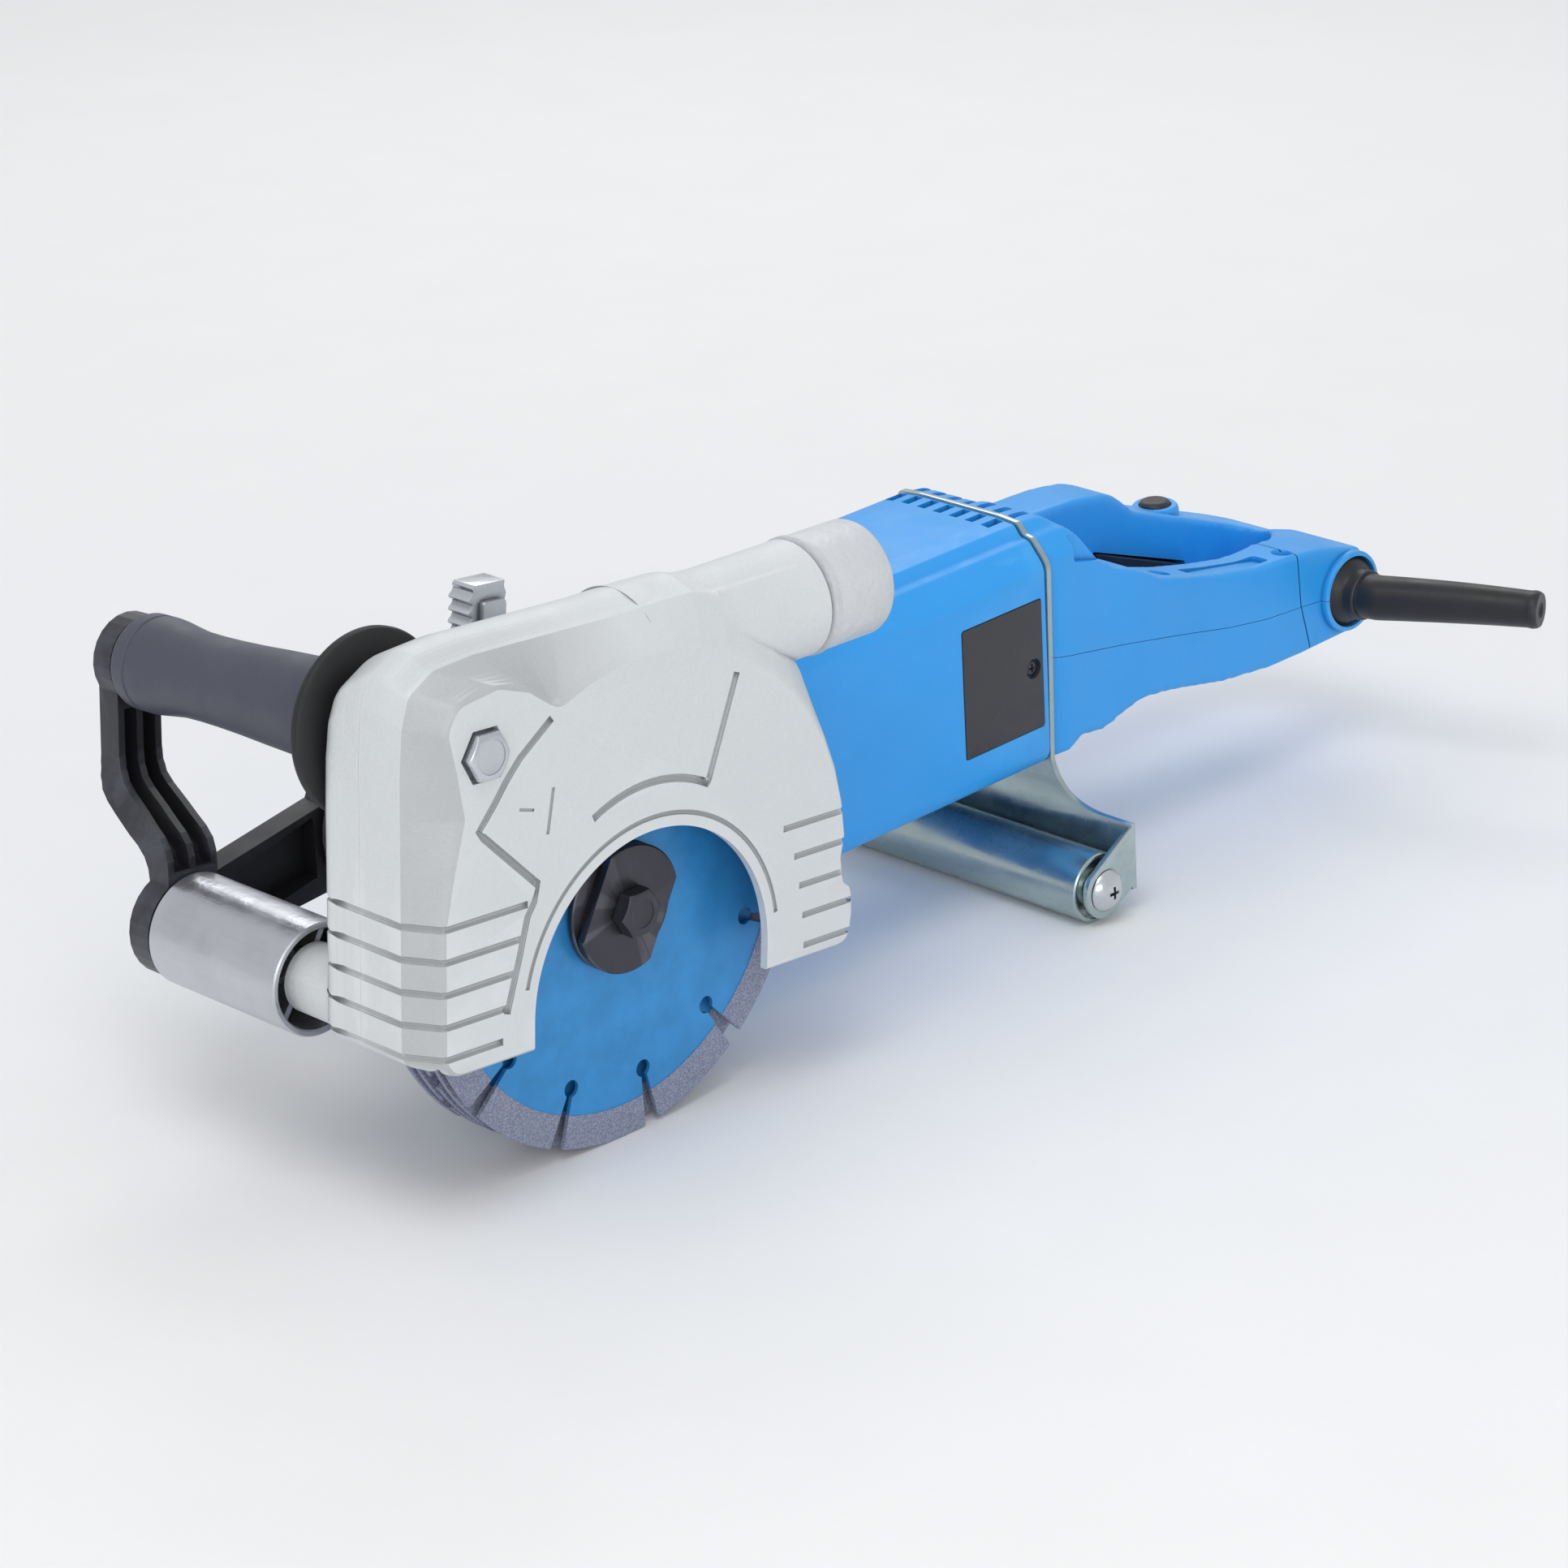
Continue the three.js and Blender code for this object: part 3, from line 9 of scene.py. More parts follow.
import bmesh
import bpy
from mathutils import Matrix, Vector
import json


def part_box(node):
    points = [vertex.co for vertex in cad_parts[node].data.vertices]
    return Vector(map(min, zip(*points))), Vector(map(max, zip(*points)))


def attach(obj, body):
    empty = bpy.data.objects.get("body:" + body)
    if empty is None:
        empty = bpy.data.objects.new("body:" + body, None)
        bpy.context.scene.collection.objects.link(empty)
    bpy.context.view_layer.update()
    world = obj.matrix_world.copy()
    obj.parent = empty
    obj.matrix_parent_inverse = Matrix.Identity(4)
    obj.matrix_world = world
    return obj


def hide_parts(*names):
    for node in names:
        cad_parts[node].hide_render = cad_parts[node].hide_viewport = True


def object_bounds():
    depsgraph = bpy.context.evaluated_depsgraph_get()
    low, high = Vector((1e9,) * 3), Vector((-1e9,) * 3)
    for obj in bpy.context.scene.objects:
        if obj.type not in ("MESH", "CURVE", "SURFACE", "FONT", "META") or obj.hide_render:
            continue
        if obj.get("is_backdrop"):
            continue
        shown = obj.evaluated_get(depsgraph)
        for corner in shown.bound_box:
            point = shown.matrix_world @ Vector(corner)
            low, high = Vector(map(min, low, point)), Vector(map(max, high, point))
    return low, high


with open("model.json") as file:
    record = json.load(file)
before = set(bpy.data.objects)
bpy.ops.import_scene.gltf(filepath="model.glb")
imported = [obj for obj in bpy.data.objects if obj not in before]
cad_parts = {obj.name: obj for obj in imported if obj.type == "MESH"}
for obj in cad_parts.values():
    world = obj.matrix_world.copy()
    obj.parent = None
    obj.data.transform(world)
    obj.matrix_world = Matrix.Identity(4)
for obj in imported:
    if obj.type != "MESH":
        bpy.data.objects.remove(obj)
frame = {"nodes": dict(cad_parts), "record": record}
CAD_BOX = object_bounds()
COLLECTION = bpy.context.scene.collection

# -------------------------------- frames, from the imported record

MM = 0.001
JOINTS = {joint["name"]: joint for joint in frame["record"]["behaviour"]["joints"]}
SPINDLE = Vector(JOINTS["spindle_turn"]["pos_m"])
MOTOR_AXIS = Vector(JOINTS["armature_turn"]["axis"])
MOTOR_PITCH = math.atan2(MOTOR_AXIS.z, MOTOR_AXIS.x)
GUARD_PITCH = MOTOR_PITCH - math.radians(5.58)
GRIP_DROOP = math.radians(3)
GRIP_ROOT = (-84.5, -21.5, 83)
ORIGIN = Vector((SPINDLE.x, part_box("blade_1")[0][1], SPINDLE.z))


def at_spindle(pitch):
    """A frame in millimetres at the spindle, its X raised by pitch."""
    return Matrix.Translation(ORIGIN) @ Matrix.Rotation(-pitch, 4, "Y") @ Matrix.Scale(MM, 4)


MOTOR = at_spindle(MOTOR_PITCH)
GUARD = at_spindle(GUARD_PITCH)
GRIP = GUARD @ Matrix.Translation(GRIP_ROOT) @ Matrix.Rotation(-GRIP_DROOP, 4, "X")

# -------------------------------- camera, floor and light

LENS = 116.349
CAMERA_OFFSET = Vector((-1.17054, -1.27334, 0.73232))
CAMERA_TURN = (68.33115, 1.53157, -45.30148)
FLOOR_REACH = 6


def add_camera():
    data = bpy.data.cameras.new("camera")
    data.lens = LENS
    data.sensor_width = 36
    data.clip_start = 0.05
    camera = bpy.data.objects.new("camera", data)
    camera.location = ORIGIN + CAMERA_OFFSET
    camera.rotation_euler = [math.radians(a) for a in CAMERA_TURN]
    COLLECTION.objects.link(camera)
    bpy.context.scene.camera = camera


def add_light(name, spot, target, size, power):
    data = bpy.data.lights.new(name, "AREA")
    data.shape = "RECTANGLE"
    data.size, data.size_y = size
    data.energy = power
    lamp = bpy.data.objects.new(name, data)
    lamp.location = spot
    lamp.rotation_euler = (Vector(target) - Vector(spot)).to_track_quat("-Z", "Y").to_euler()
    COLLECTION.objects.link(lamp)


def add_studio():
    world = bpy.data.worlds.new("studio")
    world.use_nodes = True
    background = world.node_tree.nodes["Background"]
    background.inputs["Color"].default_value = (0.95, 0.97, 1, 1)
    background.inputs["Strength"].default_value = 0.68
    bpy.context.scene.world = world
    bpy.context.scene.view_settings.view_transform = "Standard"
    add_light("key", (-0.9, -0.5, 2.0), (0, 0, 0.1), (1.0, 1.0), 11)
    add_light("front", (-1.3, -1.7, 0.7), (0, 0, 0.1), (1.6, 0.9), 9.5)
    add_light("rim", (1.2, 1.2, 1.4), (0, 0, 0.1), (1.4, 0.6), 7)
    corners = [(FLOOR_REACH * u, FLOOR_REACH * v, 0) for u, v in ((-1, -1), (1, -1), (1, 1), (-1, 1))]
    floor = new_object("floor", corners, [(0, 1, 2, 3)])
    floor.data.materials.append(plain("floor", (0.9, 0.9, 0.9), 0.9, grain=(300, 0.00005), tint=0.01))
    floor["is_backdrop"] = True


# -------------------------------- mesh tools

WELD = 0.003


def new_object(name, vertices, faces):
    mesh = bpy.data.meshes.new(name)
    mesh.from_pydata([tuple(v) for v in vertices], [], faces)
    mesh.validate()
    obj = bpy.data.objects.new(name, mesh)
    COLLECTION.objects.link(obj)
    return obj


def edit(obj):
    """A bmesh of obj with welded points and outward faces."""
    bm = bmesh.new()
    bm.from_mesh(obj.data)
    bmesh.ops.remove_doubles(bm, verts=bm.verts, dist=WELD)
    bmesh.ops.recalc_face_normals(bm, faces=bm.faces)
    return bm


def save(bm, obj):
    bm.to_mesh(obj.data)
    bm.free()
    return obj


def skin(rings):
    """A closed body stretched over rings of equal point count."""
    count = len(rings[0])
    vertices = [p for ring in rings for p in ring]
    faces = []
    for s in range(len(rings) - 1):
        for i in range(count):
            a, b = s * count + i, s * count + (i + 1) % count
            faces.append((a, b, b + count, a + count))
    faces.append(tuple(range(count)))
    faces.append(tuple(range(len(vertices) - 1, len(vertices) - count - 1, -1)))
    obj = new_object("skin", vertices, faces)
    return save(edit(obj), obj)


def place(axis, u, v, along):
    """A point from two outline coordinates and a distance along the axis."""
    return {"X": (along, u, v), "Y": (u, along, v), "Z": (u, v, along)}[axis]


def prism(axis, outline, start, end):
    return skin([[place(axis, u, v, s) for u, v in outline] for s in (start, end)])


def lathe(axis, profile, centre=(0, 0), sides=96):
    """profile is a closed list of (radius, distance); centre is the axis in the other two coordinates."""
    vertices = []
    for i in range(sides):
        turn = 2 * math.pi * i / sides
        c, s = math.cos(turn), math.sin(turn)
        vertices += [place(axis, centre[0] + r * c, centre[1] + r * s, d) for r, d in profile]
    count = len(profile)
    faces = []
    for i in range(sides):
        j = (i + 1) % sides
        for k in range(count):
            m = (k + 1) % count
            if profile[k][0] or profile[m][0]:
                faces.append((i * count + k, i * count + m, j * count + m, j * count + k))
    obj = new_object("lathe", vertices, faces)
    bm = edit(obj)
    bmesh.ops.dissolve_degenerate(bm, edges=bm.edges, dist=0.001)
    return save(bm, obj)


def rod(axis, radius, start, end, centre=(0, 0), sides=48):
    return prism(axis, circle(centre, radius, sides), start, end)


def block(x0, x1, y0, y1, z0, z1):
    return prism("Y", [(x0, z0), (x1, z0), (x1, z1), (x0, z1)], y0, y1)


def tube(path, radius, sides):
    """A round bar along a polyline; radius is a number, or a function of the share of the way along."""
    points = [Vector(p) for p in path]
    rings = []
    side = None
    for i, point in enumerate(points):
        along = (points[min(i + 1, len(points) - 1)] - points[max(i - 1, 0)]).normalized()
        if side is None:
            side = along.orthogonal().normalized()
        side = (side - along * side.dot(along)).normalized()
        up = along.cross(side)
        r = radius(i / (len(points) - 1)) if callable(radius) else radius
        rings.append([point + side * (r * math.cos(a)) + up * (r * math.sin(a))
                      for a in (2 * math.pi * k / sides for k in range(sides))])
    return skin(rings)


def merge(*objs):
    """One object from several that don't touch."""
    bm = bmesh.new()
    for obj in objs:
        bm.from_mesh(obj.data)
    for obj in objs[1:]:
        bpy.data.objects.remove(obj)
    return save(bm, objs[0])


def twin(obj):
    """A copy with a mesh of its own."""
    other = obj.copy()
    other.data = obj.data.copy()
    COLLECTION.objects.link(other)
    return other


def moved(obj, matrix):
    obj.data.transform(matrix)
    return obj


def into_guard(obj, matrix):
    """Moves a body from its own frame into the guard's."""
    return moved(obj, GUARD.inverted() @ matrix)


def bake(obj):
    """Applies all modifiers."""
    graph = bpy.context.evaluated_depsgraph_get()
    mesh = bpy.data.meshes.new_from_object(obj.evaluated_get(graph))
    obj.modifiers.clear()
    obj.data = mesh
    return obj


def boolean(obj, others, how):
    for other in others:
        step = obj.modifiers.new("step", "BOOLEAN")
        step.operation = how
        step.solver = "MANIFOLD"
        step.object = other
    bake(obj)
    for other in others:
        bpy.data.objects.remove(other)
    return obj


def cut(obj, *tools):
    return boolean(obj, tools, "DIFFERENCE")


def join(obj, *others):
    return boolean(obj, others, "UNION")


def keep(obj, *others):
    return boolean(obj, others, "INTERSECT")


def round_over(obj, width, segments=2, angle=32):
    step = obj.modifiers.new("round", "BEVEL")
    step.width = width
    step.segments = segments
    step.limit_method = "ANGLE"
    step.angle_limit = math.radians(angle)
    step.use_clamp_overlap = True
    return bake(obj)


def melt(obj, voxel, passes):
    """Remeshes a body and relaxes it, which rounds every edge."""
    step = obj.modifiers.new("remesh", "REMESH")
    step.mode = "VOXEL"
    step.voxel_size = voxel
    step = obj.modifiers.new("relax", "SMOOTH")
    step.factor = 0.5
    step.iterations = passes
    return bake(obj)


def piece(obj, name, matrix, body, node, material, crease=35):
    """Places a finished mesh in the row frame, hangs it on its body's empty and hides the CAD node that it
    stands in for.
    """
    obj.name = name
    obj.data.name = name
    obj.data.transform(matrix)
    obj.data.shade_smooth()
    obj.data.set_sharp_from_angle(angle=math.radians(crease))
    obj.data.materials.clear()
    obj.data.materials.append(material)
    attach(obj, body)
    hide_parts(node)


# -------------------------------- outlines


def circle(centre, radius, sides):
    return arc(centre, radius, 0, 360 - 360 / sides, sides - 1)


def arc(centre, radius, start, end, steps):
    angles = (math.radians(start + (end - start) * i / steps) for i in range(steps + 1))
    return [(centre[0] + radius * math.cos(a), centre[1] + radius * math.sin(a)) for a in angles]


def hexagon(centre, across_flats):
    return circle(centre, across_flats / math.sqrt(3), 6)


def fillet(points, radius, steps=4):
    """Rounds every corner of a closed outline; each corner becomes steps + 1 points."""
    out = []
    for i, corner in enumerate(points):
        p = Vector(corner)
        before = Vector(points[i - 1]) - p
        after = Vector(points[(i + 1) % len(points)]) - p
        turn = math.pi - before.angle(after)
        reach = max(0.25, radius * math.tan(turn / 2))
        a = p + before.normalized() * min(reach, before.length * 0.48)
        b = p + after.normalized() * min(reach, after.length * 0.48)
        for k in range(steps + 1):
            t = k / steps
            out.append(tuple(a * (1 - t) ** 2 + p * (2 * t * (1 - t)) + b * t ** 2))
    return out


def mixed_fillet(points, radii, steps=5):
    """Like fillet, with a radius for each corner."""
    out = []
    for i, radius in enumerate(radii):
        trio = [points[i - 1], points[i], points[(i + 1) % len(points)]]
        out += fillet(trio, radius, steps)[steps + 1:2 * (steps + 1)]
    return out


def inset(points, distance):
    """Moves every edge of a closed outline inwards by the same distance."""
    count = len(points)
    area = sum(points[i][0] * points[(i + 1) % count][1] - points[(i + 1) % count][0] * points[i][1]
               for i in range(count))
    side = distance if area > 0 else -distance
    out = []
    for i, point in enumerate(points):
        p, a, b = Vector(point), Vector(points[i - 1]), Vector(points[(i + 1) % count])
        n1 = Vector((a.y - p.y, p.x - a.x)).normalized()
        n2 = Vector((p.y - b.y, b.x - p.x)).normalized()
        middle = (n1 + n2).normalized()
        out.append(tuple(p + middle * (side / max(0.5, middle.dot(n1)))))
    return out


def rounded_box(u0, u1, v0, v1, radius):
    return fillet([(u0, v0), (u1, v0), (u1, v1), (u0, v1)], radius, 8)


def bezier(a, b, c, steps):
    return [tuple(Vector(a) * (1 - t) ** 2 + Vector(b) * (2 * t * (1 - t)) + Vector(c) * t ** 2)
            for t in (k / steps for k in range(steps + 1))]


def smooth_between(keys, t):
    """Catmull-Rom through (position, list of points) keys."""
    last = len(keys) - 1
    i = max(k for k in range(last) if t >= keys[k][0] - 1e-9)
    k0, k1, k2, k3 = keys[max(i - 1, 0)], keys[i], keys[i + 1], keys[min(i + 2, last)]
    span = k2[0] - k1[0]
    s = (t - k1[0]) / span

    def slope(a, b, va, vb):
        return (vb - va) / (b[0] - a[0]) * span if b[0] != a[0] else 0

    out = []
    for p0, p1, p2, p3 in zip(k0[1], k1[1], k2[1], k3[1]):
        point = []
        for c in (0, 1):
            m1 = slope(k0, k2, p0[c], p2[c])
            m2 = slope(k1, k3, p1[c], p3[c])
            point.append((2 * s ** 3 - 3 * s ** 2 + 1) * p1[c] + (s ** 3 - 2 * s ** 2 + s) * m1
                         + (3 * s ** 2 - 2 * s ** 3) * p2[c] + (s ** 3 - s ** 2) * m2)
        out.append(tuple(point))
    return out


# -------------------------------- materials


class Nodes:
    """A small builder round one material's node tree, in object coordinates (metres)."""

    def __init__(self, name):
        self.material = bpy.data.materials.new(name)
        self.material.use_nodes = True
        self.tree = self.material.node_tree
        self.shader = self.tree.nodes["Principled BSDF"]
        self.where = self.add("ShaderNodeTexCoord").outputs["Object"]

    def add(self, kind, **values):
        node = self.tree.nodes.new(kind)
        for key, value in values.items():
            setattr(node, key, value)
        return node

    def link(self, a, b):
        self.tree.links.new(a, b)

    def noise(self, scale, detail, stretch=(1, 1, 1)):
        mapping = self.add("ShaderNodeMapping")
        mapping.inputs["Scale"].default_value = stretch
        self.link(self.where, mapping.inputs["Vector"])
        node = self.add("ShaderNodeTexNoise")
        node.inputs["Scale"].default_value = scale
        node.inputs["Detail"].default_value = detail
        node.inputs["Roughness"].default_value = 0.55
        self.link(mapping.outputs["Vector"], node.inputs["Vector"])
        return node.outputs["Fac"]

    def ramp(self, value, low, high, start=0.0, end=1.0):
        """Maps low..high of a value to start..end, held beyond both."""
        node = self.add("ShaderNodeMapRange")
        for key, number in (("From Min", low), ("From Max", high), ("To Min", start), ("To Max", end)):
            node.inputs[key].default_value = number
        self.link(value, node.inputs["Value"])
        return node.outputs["Result"]

    def multiply(self, a, b):
        node = self.add("ShaderNodeMath", operation="MULTIPLY")
        self.link(a, node.inputs[0])
        self.link(b, node.inputs[1])
        return node.outputs[0]

    def parts(self, vector):
        node = self.add("ShaderNodeSeparateXYZ")
        self.link(vector, node.inputs[0])
        return node.outputs

    def mix(self, factor, a, b):
        node = self.add("ShaderNodeMix", data_type="RGBA")
        self.link(factor, node.inputs["Factor"])
        for socket, value in ((node.inputs[6], a), (node.inputs[7], b)):
            if isinstance(value, tuple):
                socket.default_value = (*value, 1)
            else:
                self.link(value, socket)
        return node.outputs[2]

    def bump(self, layers):
        """layers: (height socket, depth in metres) from the deepest to the finest."""
        normal = None
        for height, depth in layers:
            node = self.add("ShaderNodeBump")
            node.inputs["Distance"].default_value = depth
            self.link(height, node.inputs["Height"])
            if normal:
                self.link(normal, node.inputs["Normal"])
            normal = node.outputs["Normal"]
        self.link(normal, self.shader.inputs["Normal"])


def linear(r, g, b):
    """An sRGB colour of 0 to 255 in linear light."""
    shares = (r / 255, g / 255, b / 255)
    return tuple(v / 12.92 if v <= 0.04045 else ((v + 0.055) / 1.055) ** 2.4 for v in shares)


def shade(colour, factor):
    return tuple(min(1.0, c * factor) for c in colour)


def rubbed_edges(n, smudge, amount):
    edge = n.add("ShaderNodeNewGeometry").outputs["Pointiness"]
    return n.multiply(n.ramp(edge, 0.52, 0.60, 0, amount), n.ramp(smudge, 0.4, 0.6, 0.3, 1))


# Painted shade mask: ambient occlusion that is strongest deep in grooves and corners.
def hollows(n, amount):
    node = n.add("ShaderNodeAmbientOcclusion")
    node.samples = 6
    node.only_local = True
    node.inputs["Distance"].default_value = 0.0028
    return n.ramp(node.outputs["AO"], 0.55, 0.92, amount, 0)


def sloping_sides(n, amount):
    """Painted shade mask: the surfaces ahead of the spindle that look neither along nor across it."""
    across = n.parts(n.add("ShaderNodeNewGeometry").outputs["True Normal"])["Y"]
    squared = n.multiply(across, across)
    sloping = n.multiply(n.ramp(squared, 0.04, 0.2), n.ramp(squared, 0.86, 0.97, amount, 0))
    ahead = n.ramp(n.parts(n.where)["X"], SPINDLE.x - 0.05, SPINDLE.x, 1, 0)
    return n.multiply(sloping, ahead)


def plain(name, colour, roughness, metallic=0.0, grain=(900, 0.0001), tint=0.05, wear=0.0, spread=0.08,
          stretch=(1, 1, 1), worn=None, soft=(45, 0.0), hollow_shade=0.0, slope_shade=0.0):
    """A finish with fine grain, slow colour drift, uneven gloss, rubbed edges and painted shade in the
    hollows.

    grain and soft are the scale and depth of the fine and the broad relief. facing paints shade on the rough,
    sloping sides of the casting.
    """
    n = Nodes(name)
    fine = n.noise(grain[0], 4, stretch)
    drift = n.noise(14, 3)
    smudge = n.noise(60, 4)
    base = n.mix(n.ramp(drift, 0.3, 0.7), shade(colour, 1 - tint), shade(colour, 1 + tint))
    base = n.mix(n.ramp(fine, 0.35, 0.75, 0, 0.5), base, shade(colour, 1 - 1.6 * tint))
    if wear:
        base = n.mix(rubbed_edges(n, smudge, wear), base, worn or shade(colour, 1.5))
    # Painted shade: darkens the colour in grooves and corners, where the ambient occlusion mask finds them.
    if hollow_shade:
        base = n.mix(hollows(n, hollow_shade), base, shade(colour, 0.3))
    # Painted shade: darkens the guard's sloping sides ahead of the spindle, chosen by the direction they
    # face.
    if slope_shade:
        base = n.mix(sloping_sides(n, slope_shade), base, shade(colour, 0.55))
    n.link(base, n.shader.inputs["Base Color"])
    n.link(n.ramp(smudge, 0.3, 0.7, max(0.05, roughness - spread), min(1, roughness + spread)),
           n.shader.inputs["Roughness"])
    layers = [(fine, grain[1])]
    if soft[1]:
        layers.insert(0, (n.noise(soft[0], 2), soft[1]))
    n.bump(layers)
    n.shader.inputs["Metallic"].default_value = metallic
    return n.material


# Where the paint gives way to the rim, as distances from the spindle in metres.
CORE_EDGE = (0.0816, 0.0818)


def blade_finish():
    """A blue painted core and a grey sintered rim, told apart by their distance from the spindle."""
    n = Nodes("blade")
    flat = n.add("ShaderNodeVectorMath", operation="MULTIPLY")
    flat.inputs[1].default_value = (1, 0, 1)
    n.link(n.where, flat.inputs[0])
    span = n.add("ShaderNodeVectorMath", operation="DISTANCE")
    span.inputs[1].default_value = (SPINDLE.x, 0, SPINDLE.z)
    n.link(flat.outputs[0], span.inputs[0])
    radius = span.outputs["Value"]
    speck = n.noise(1500, 3)
    smear = n.noise(70, 4)
    blue = linear(52, 142, 206)
    core = n.mix(n.ramp(smear, 0.3, 0.7), shade(blue, 0.88), shade(blue, 1.1))
    grit = n.mix(n.ramp(speck, 0.4, 0.68), linear(120, 126, 150), linear(168, 173, 192))
    n.link(n.mix(n.ramp(radius, *CORE_EDGE), core, grit), n.shader.inputs["Base Color"])
    n.link(n.ramp(radius, *CORE_EDGE, 0.34, 0.62), n.shader.inputs["Roughness"])
    n.bump([(n.multiply(speck, n.ramp(radius, *CORE_EDGE, 0.15, 1)), 0.00035)])
    n.shader.inputs["Metallic"].default_value = 0.25
    return n.material


# Painted shade: silver_paint, scuffed_paint, blue_housing and bright_zinc darken in their hollows, and
# silver_paint also on the casting's sloping sides.
SILVER = plain("silver_paint", linear(214, 217, 218), 0.5, 0.1, grain=(750, 0.00022), tint=0.02, wear=0.35,
               soft=(120, 0.0003), worn=linear(240, 241, 242), hollow_shade=0.8, slope_shade=0.65)
SCUFFED = plain("scuffed_paint", linear(212, 214, 216), 0.48, 0.1, grain=(420, 0.00035), wear=0.5,
                soft=(70, 0.0012), worn=linear(160, 162, 164), hollow_shade=0.9)
BLUE = plain("blue_housing", linear(44, 160, 240), 0.42, grain=(1100, 0.00006), wear=0.35,
             soft=(28, 0.0005), worn=linear(110, 196, 250), hollow_shade=0.55)
BLACK = plain("black_plastic", linear(30, 30, 34), 0.42, grain=(1300, 0.00008), tint=0.10, wear=0.5,
              worn=linear(86, 88, 100))
GREY = plain("grey_plastic", linear(56, 56, 60), 0.5, grain=(1500, 0.00012), tint=0.06, wear=0.3)
RUBBER = plain("soft_rubber", linear(72, 75, 88), 0.52, tint=0.07, wear=0.3, soft=(35, 0.0006))
DARK_RUBBER = plain("dark_rubber", linear(30, 31, 34), 0.55, tint=0.08, wear=0.2)
ZINC = plain("zinc_steel", linear(176, 190, 190), 0.27, 0.95, grain=(300, 0.00004), tint=0.12, wear=0.2,
             spread=0.1, stretch=(1, 0.15, 1))
BRIGHT = plain("bright_zinc", linear(206, 209, 214), 0.26, 0.9, grain=(900, 0.00008), tint=0.08, wear=0.3,
               hollow_shade=0.9)
DARK = plain("dark_steel", linear(72, 72, 78), 0.42, 0.75, grain=(600, 0.00008), tint=0.12, wear=0.5,
             stretch=(1, 1, 0.2), worn=linear(120, 120, 128))
STEEL = plain("plain_steel", linear(160, 163, 168), 0.32, 0.95, grain=(500, 0.00004), tint=0.08,
              stretch=(1, 0.1, 1))
CAST = plain("cast_aluminium", linear(172, 175, 178), 0.5, 0.85, grain=(600, 0.00025), tint=0.08, wear=0.3)
BRUSHED = plain("roller_aluminium", linear(196, 198, 203), 0.33, 0.9, grain=(420, 0.00009), tint=0.07,
                wear=0.3, stretch=(1, 0.06, 1), soft=(180, 0.0002))
COPPER = plain("copper", linear(186, 120, 62), 0.35, 0.9, grain=(700, 0.00006), tint=0.12, wear=0.2)
CARBON = plain("carbon", linear(44, 44, 46), 0.75, 0.1, grain=(1400, 0.00010), tint=0.15)
BLADE = blade_finish()

# -------------------------------- blades and spindle

BLADES = 5
BLADE_RADIUS = 95
CORE_RADIUS = 81.7
BLADE_PITCH = 6.05
BLADE_THICKNESS = 2.2
BLADE_SEGMENTS = 12
BLADE_STAGGER = 11
FIRST_GULLET = -83.6
GULLET_HALF_ANGLE = 2.1
KEYHOLE_RADIUS = 3.5
KEYHOLE_PLACE = 71.4
BORE = 11.3
RIM_PROUD = 0.3
HEAD_ACROSS = 17


def blade_outline(turn):
    """Rim arcs, with a gullet between segments that ends in a round keyhole."""
    step = 360 / BLADE_SEGMENTS
    points = []
    for i in range(BLADE_SEGMENTS):
        gullet = turn + i * step
        points += arc((0, 0), BLADE_RADIUS, gullet + GULLET_HALF_ANGLE, gullet + step - GULLET_HALF_ANGLE, 12)
        angle = math.radians(gullet + step)
        centre = (KEYHOLE_PLACE * math.cos(angle), KEYHOLE_PLACE * math.sin(angle))
        points += arc(centre, KEYHOLE_RADIUS, gullet + step - 24, gullet + step - 336, 14)
    return points


def build_blade(index):
    """A segmented disc whose core is thinner than its rim; all but the last carry a spacer hub."""
    y0 = index * BLADE_PITCH
    y1 = y0 + BLADE_THICKNESS
    outline = blade_outline(FIRST_GULLET + BLADE_STAGGER * index)
    disc = round_over(prism("Y", outline, y0, y1), 0.25, 1, 60)
    relief = merge(*[lathe("Y", [(12, a), (CORE_RADIUS, a), (CORE_RADIUS, b), (12, b)])
                     for a, b in ((y0 - 1, y0 + RIM_PROUD), (y1 - RIM_PROUD, y1 + 1))])
    disc = cut(disc, relief, rod("Y", BORE, y0 - 1, y1 + 1))
    if index < BLADES - 1:
        hub = [(BORE, y0 + 0.5), (20, y0 + 0.5), (20, y0 + 5.6), (19.6, y0 + 5.75), (BORE, y0 + 5.75)]
        disc = join(disc, lathe("Y", hub, sides=64))
    name = f"blade_{index + 1}"
    piece(disc, f"{name}_disc", MOTOR, "spindle", name, BLADE)


def build_outer_flange():
    """A plain disc behind, a neck, and in front a disc with two spanner flats."""
    rim = [(5.4, -7.8), (24.4, -7.8), (25, -7.2), (25, -5), (24.6, -4.6), (21, -4.6), (21, -3.1),
           (24.4, -3.1), (25, -2.6), (25, -0.9), (24.4, -0.3), (BORE, -0.3), (BORE, -3.1), (5.4, -3.1)]
    turn = Matrix.Rotation(math.radians(30), 4, "Y")
    flats = [moved(block(x, x + 9, -9, -3.15, -30, 30), turn) for x in (-27.5, 18.5)]
    disc = round_over(cut(lathe("Y", rim), *flats), 0.3)
    piece(disc, "outer_flange_disc", MOTOR, "spindle", "outer_flange", DARK)


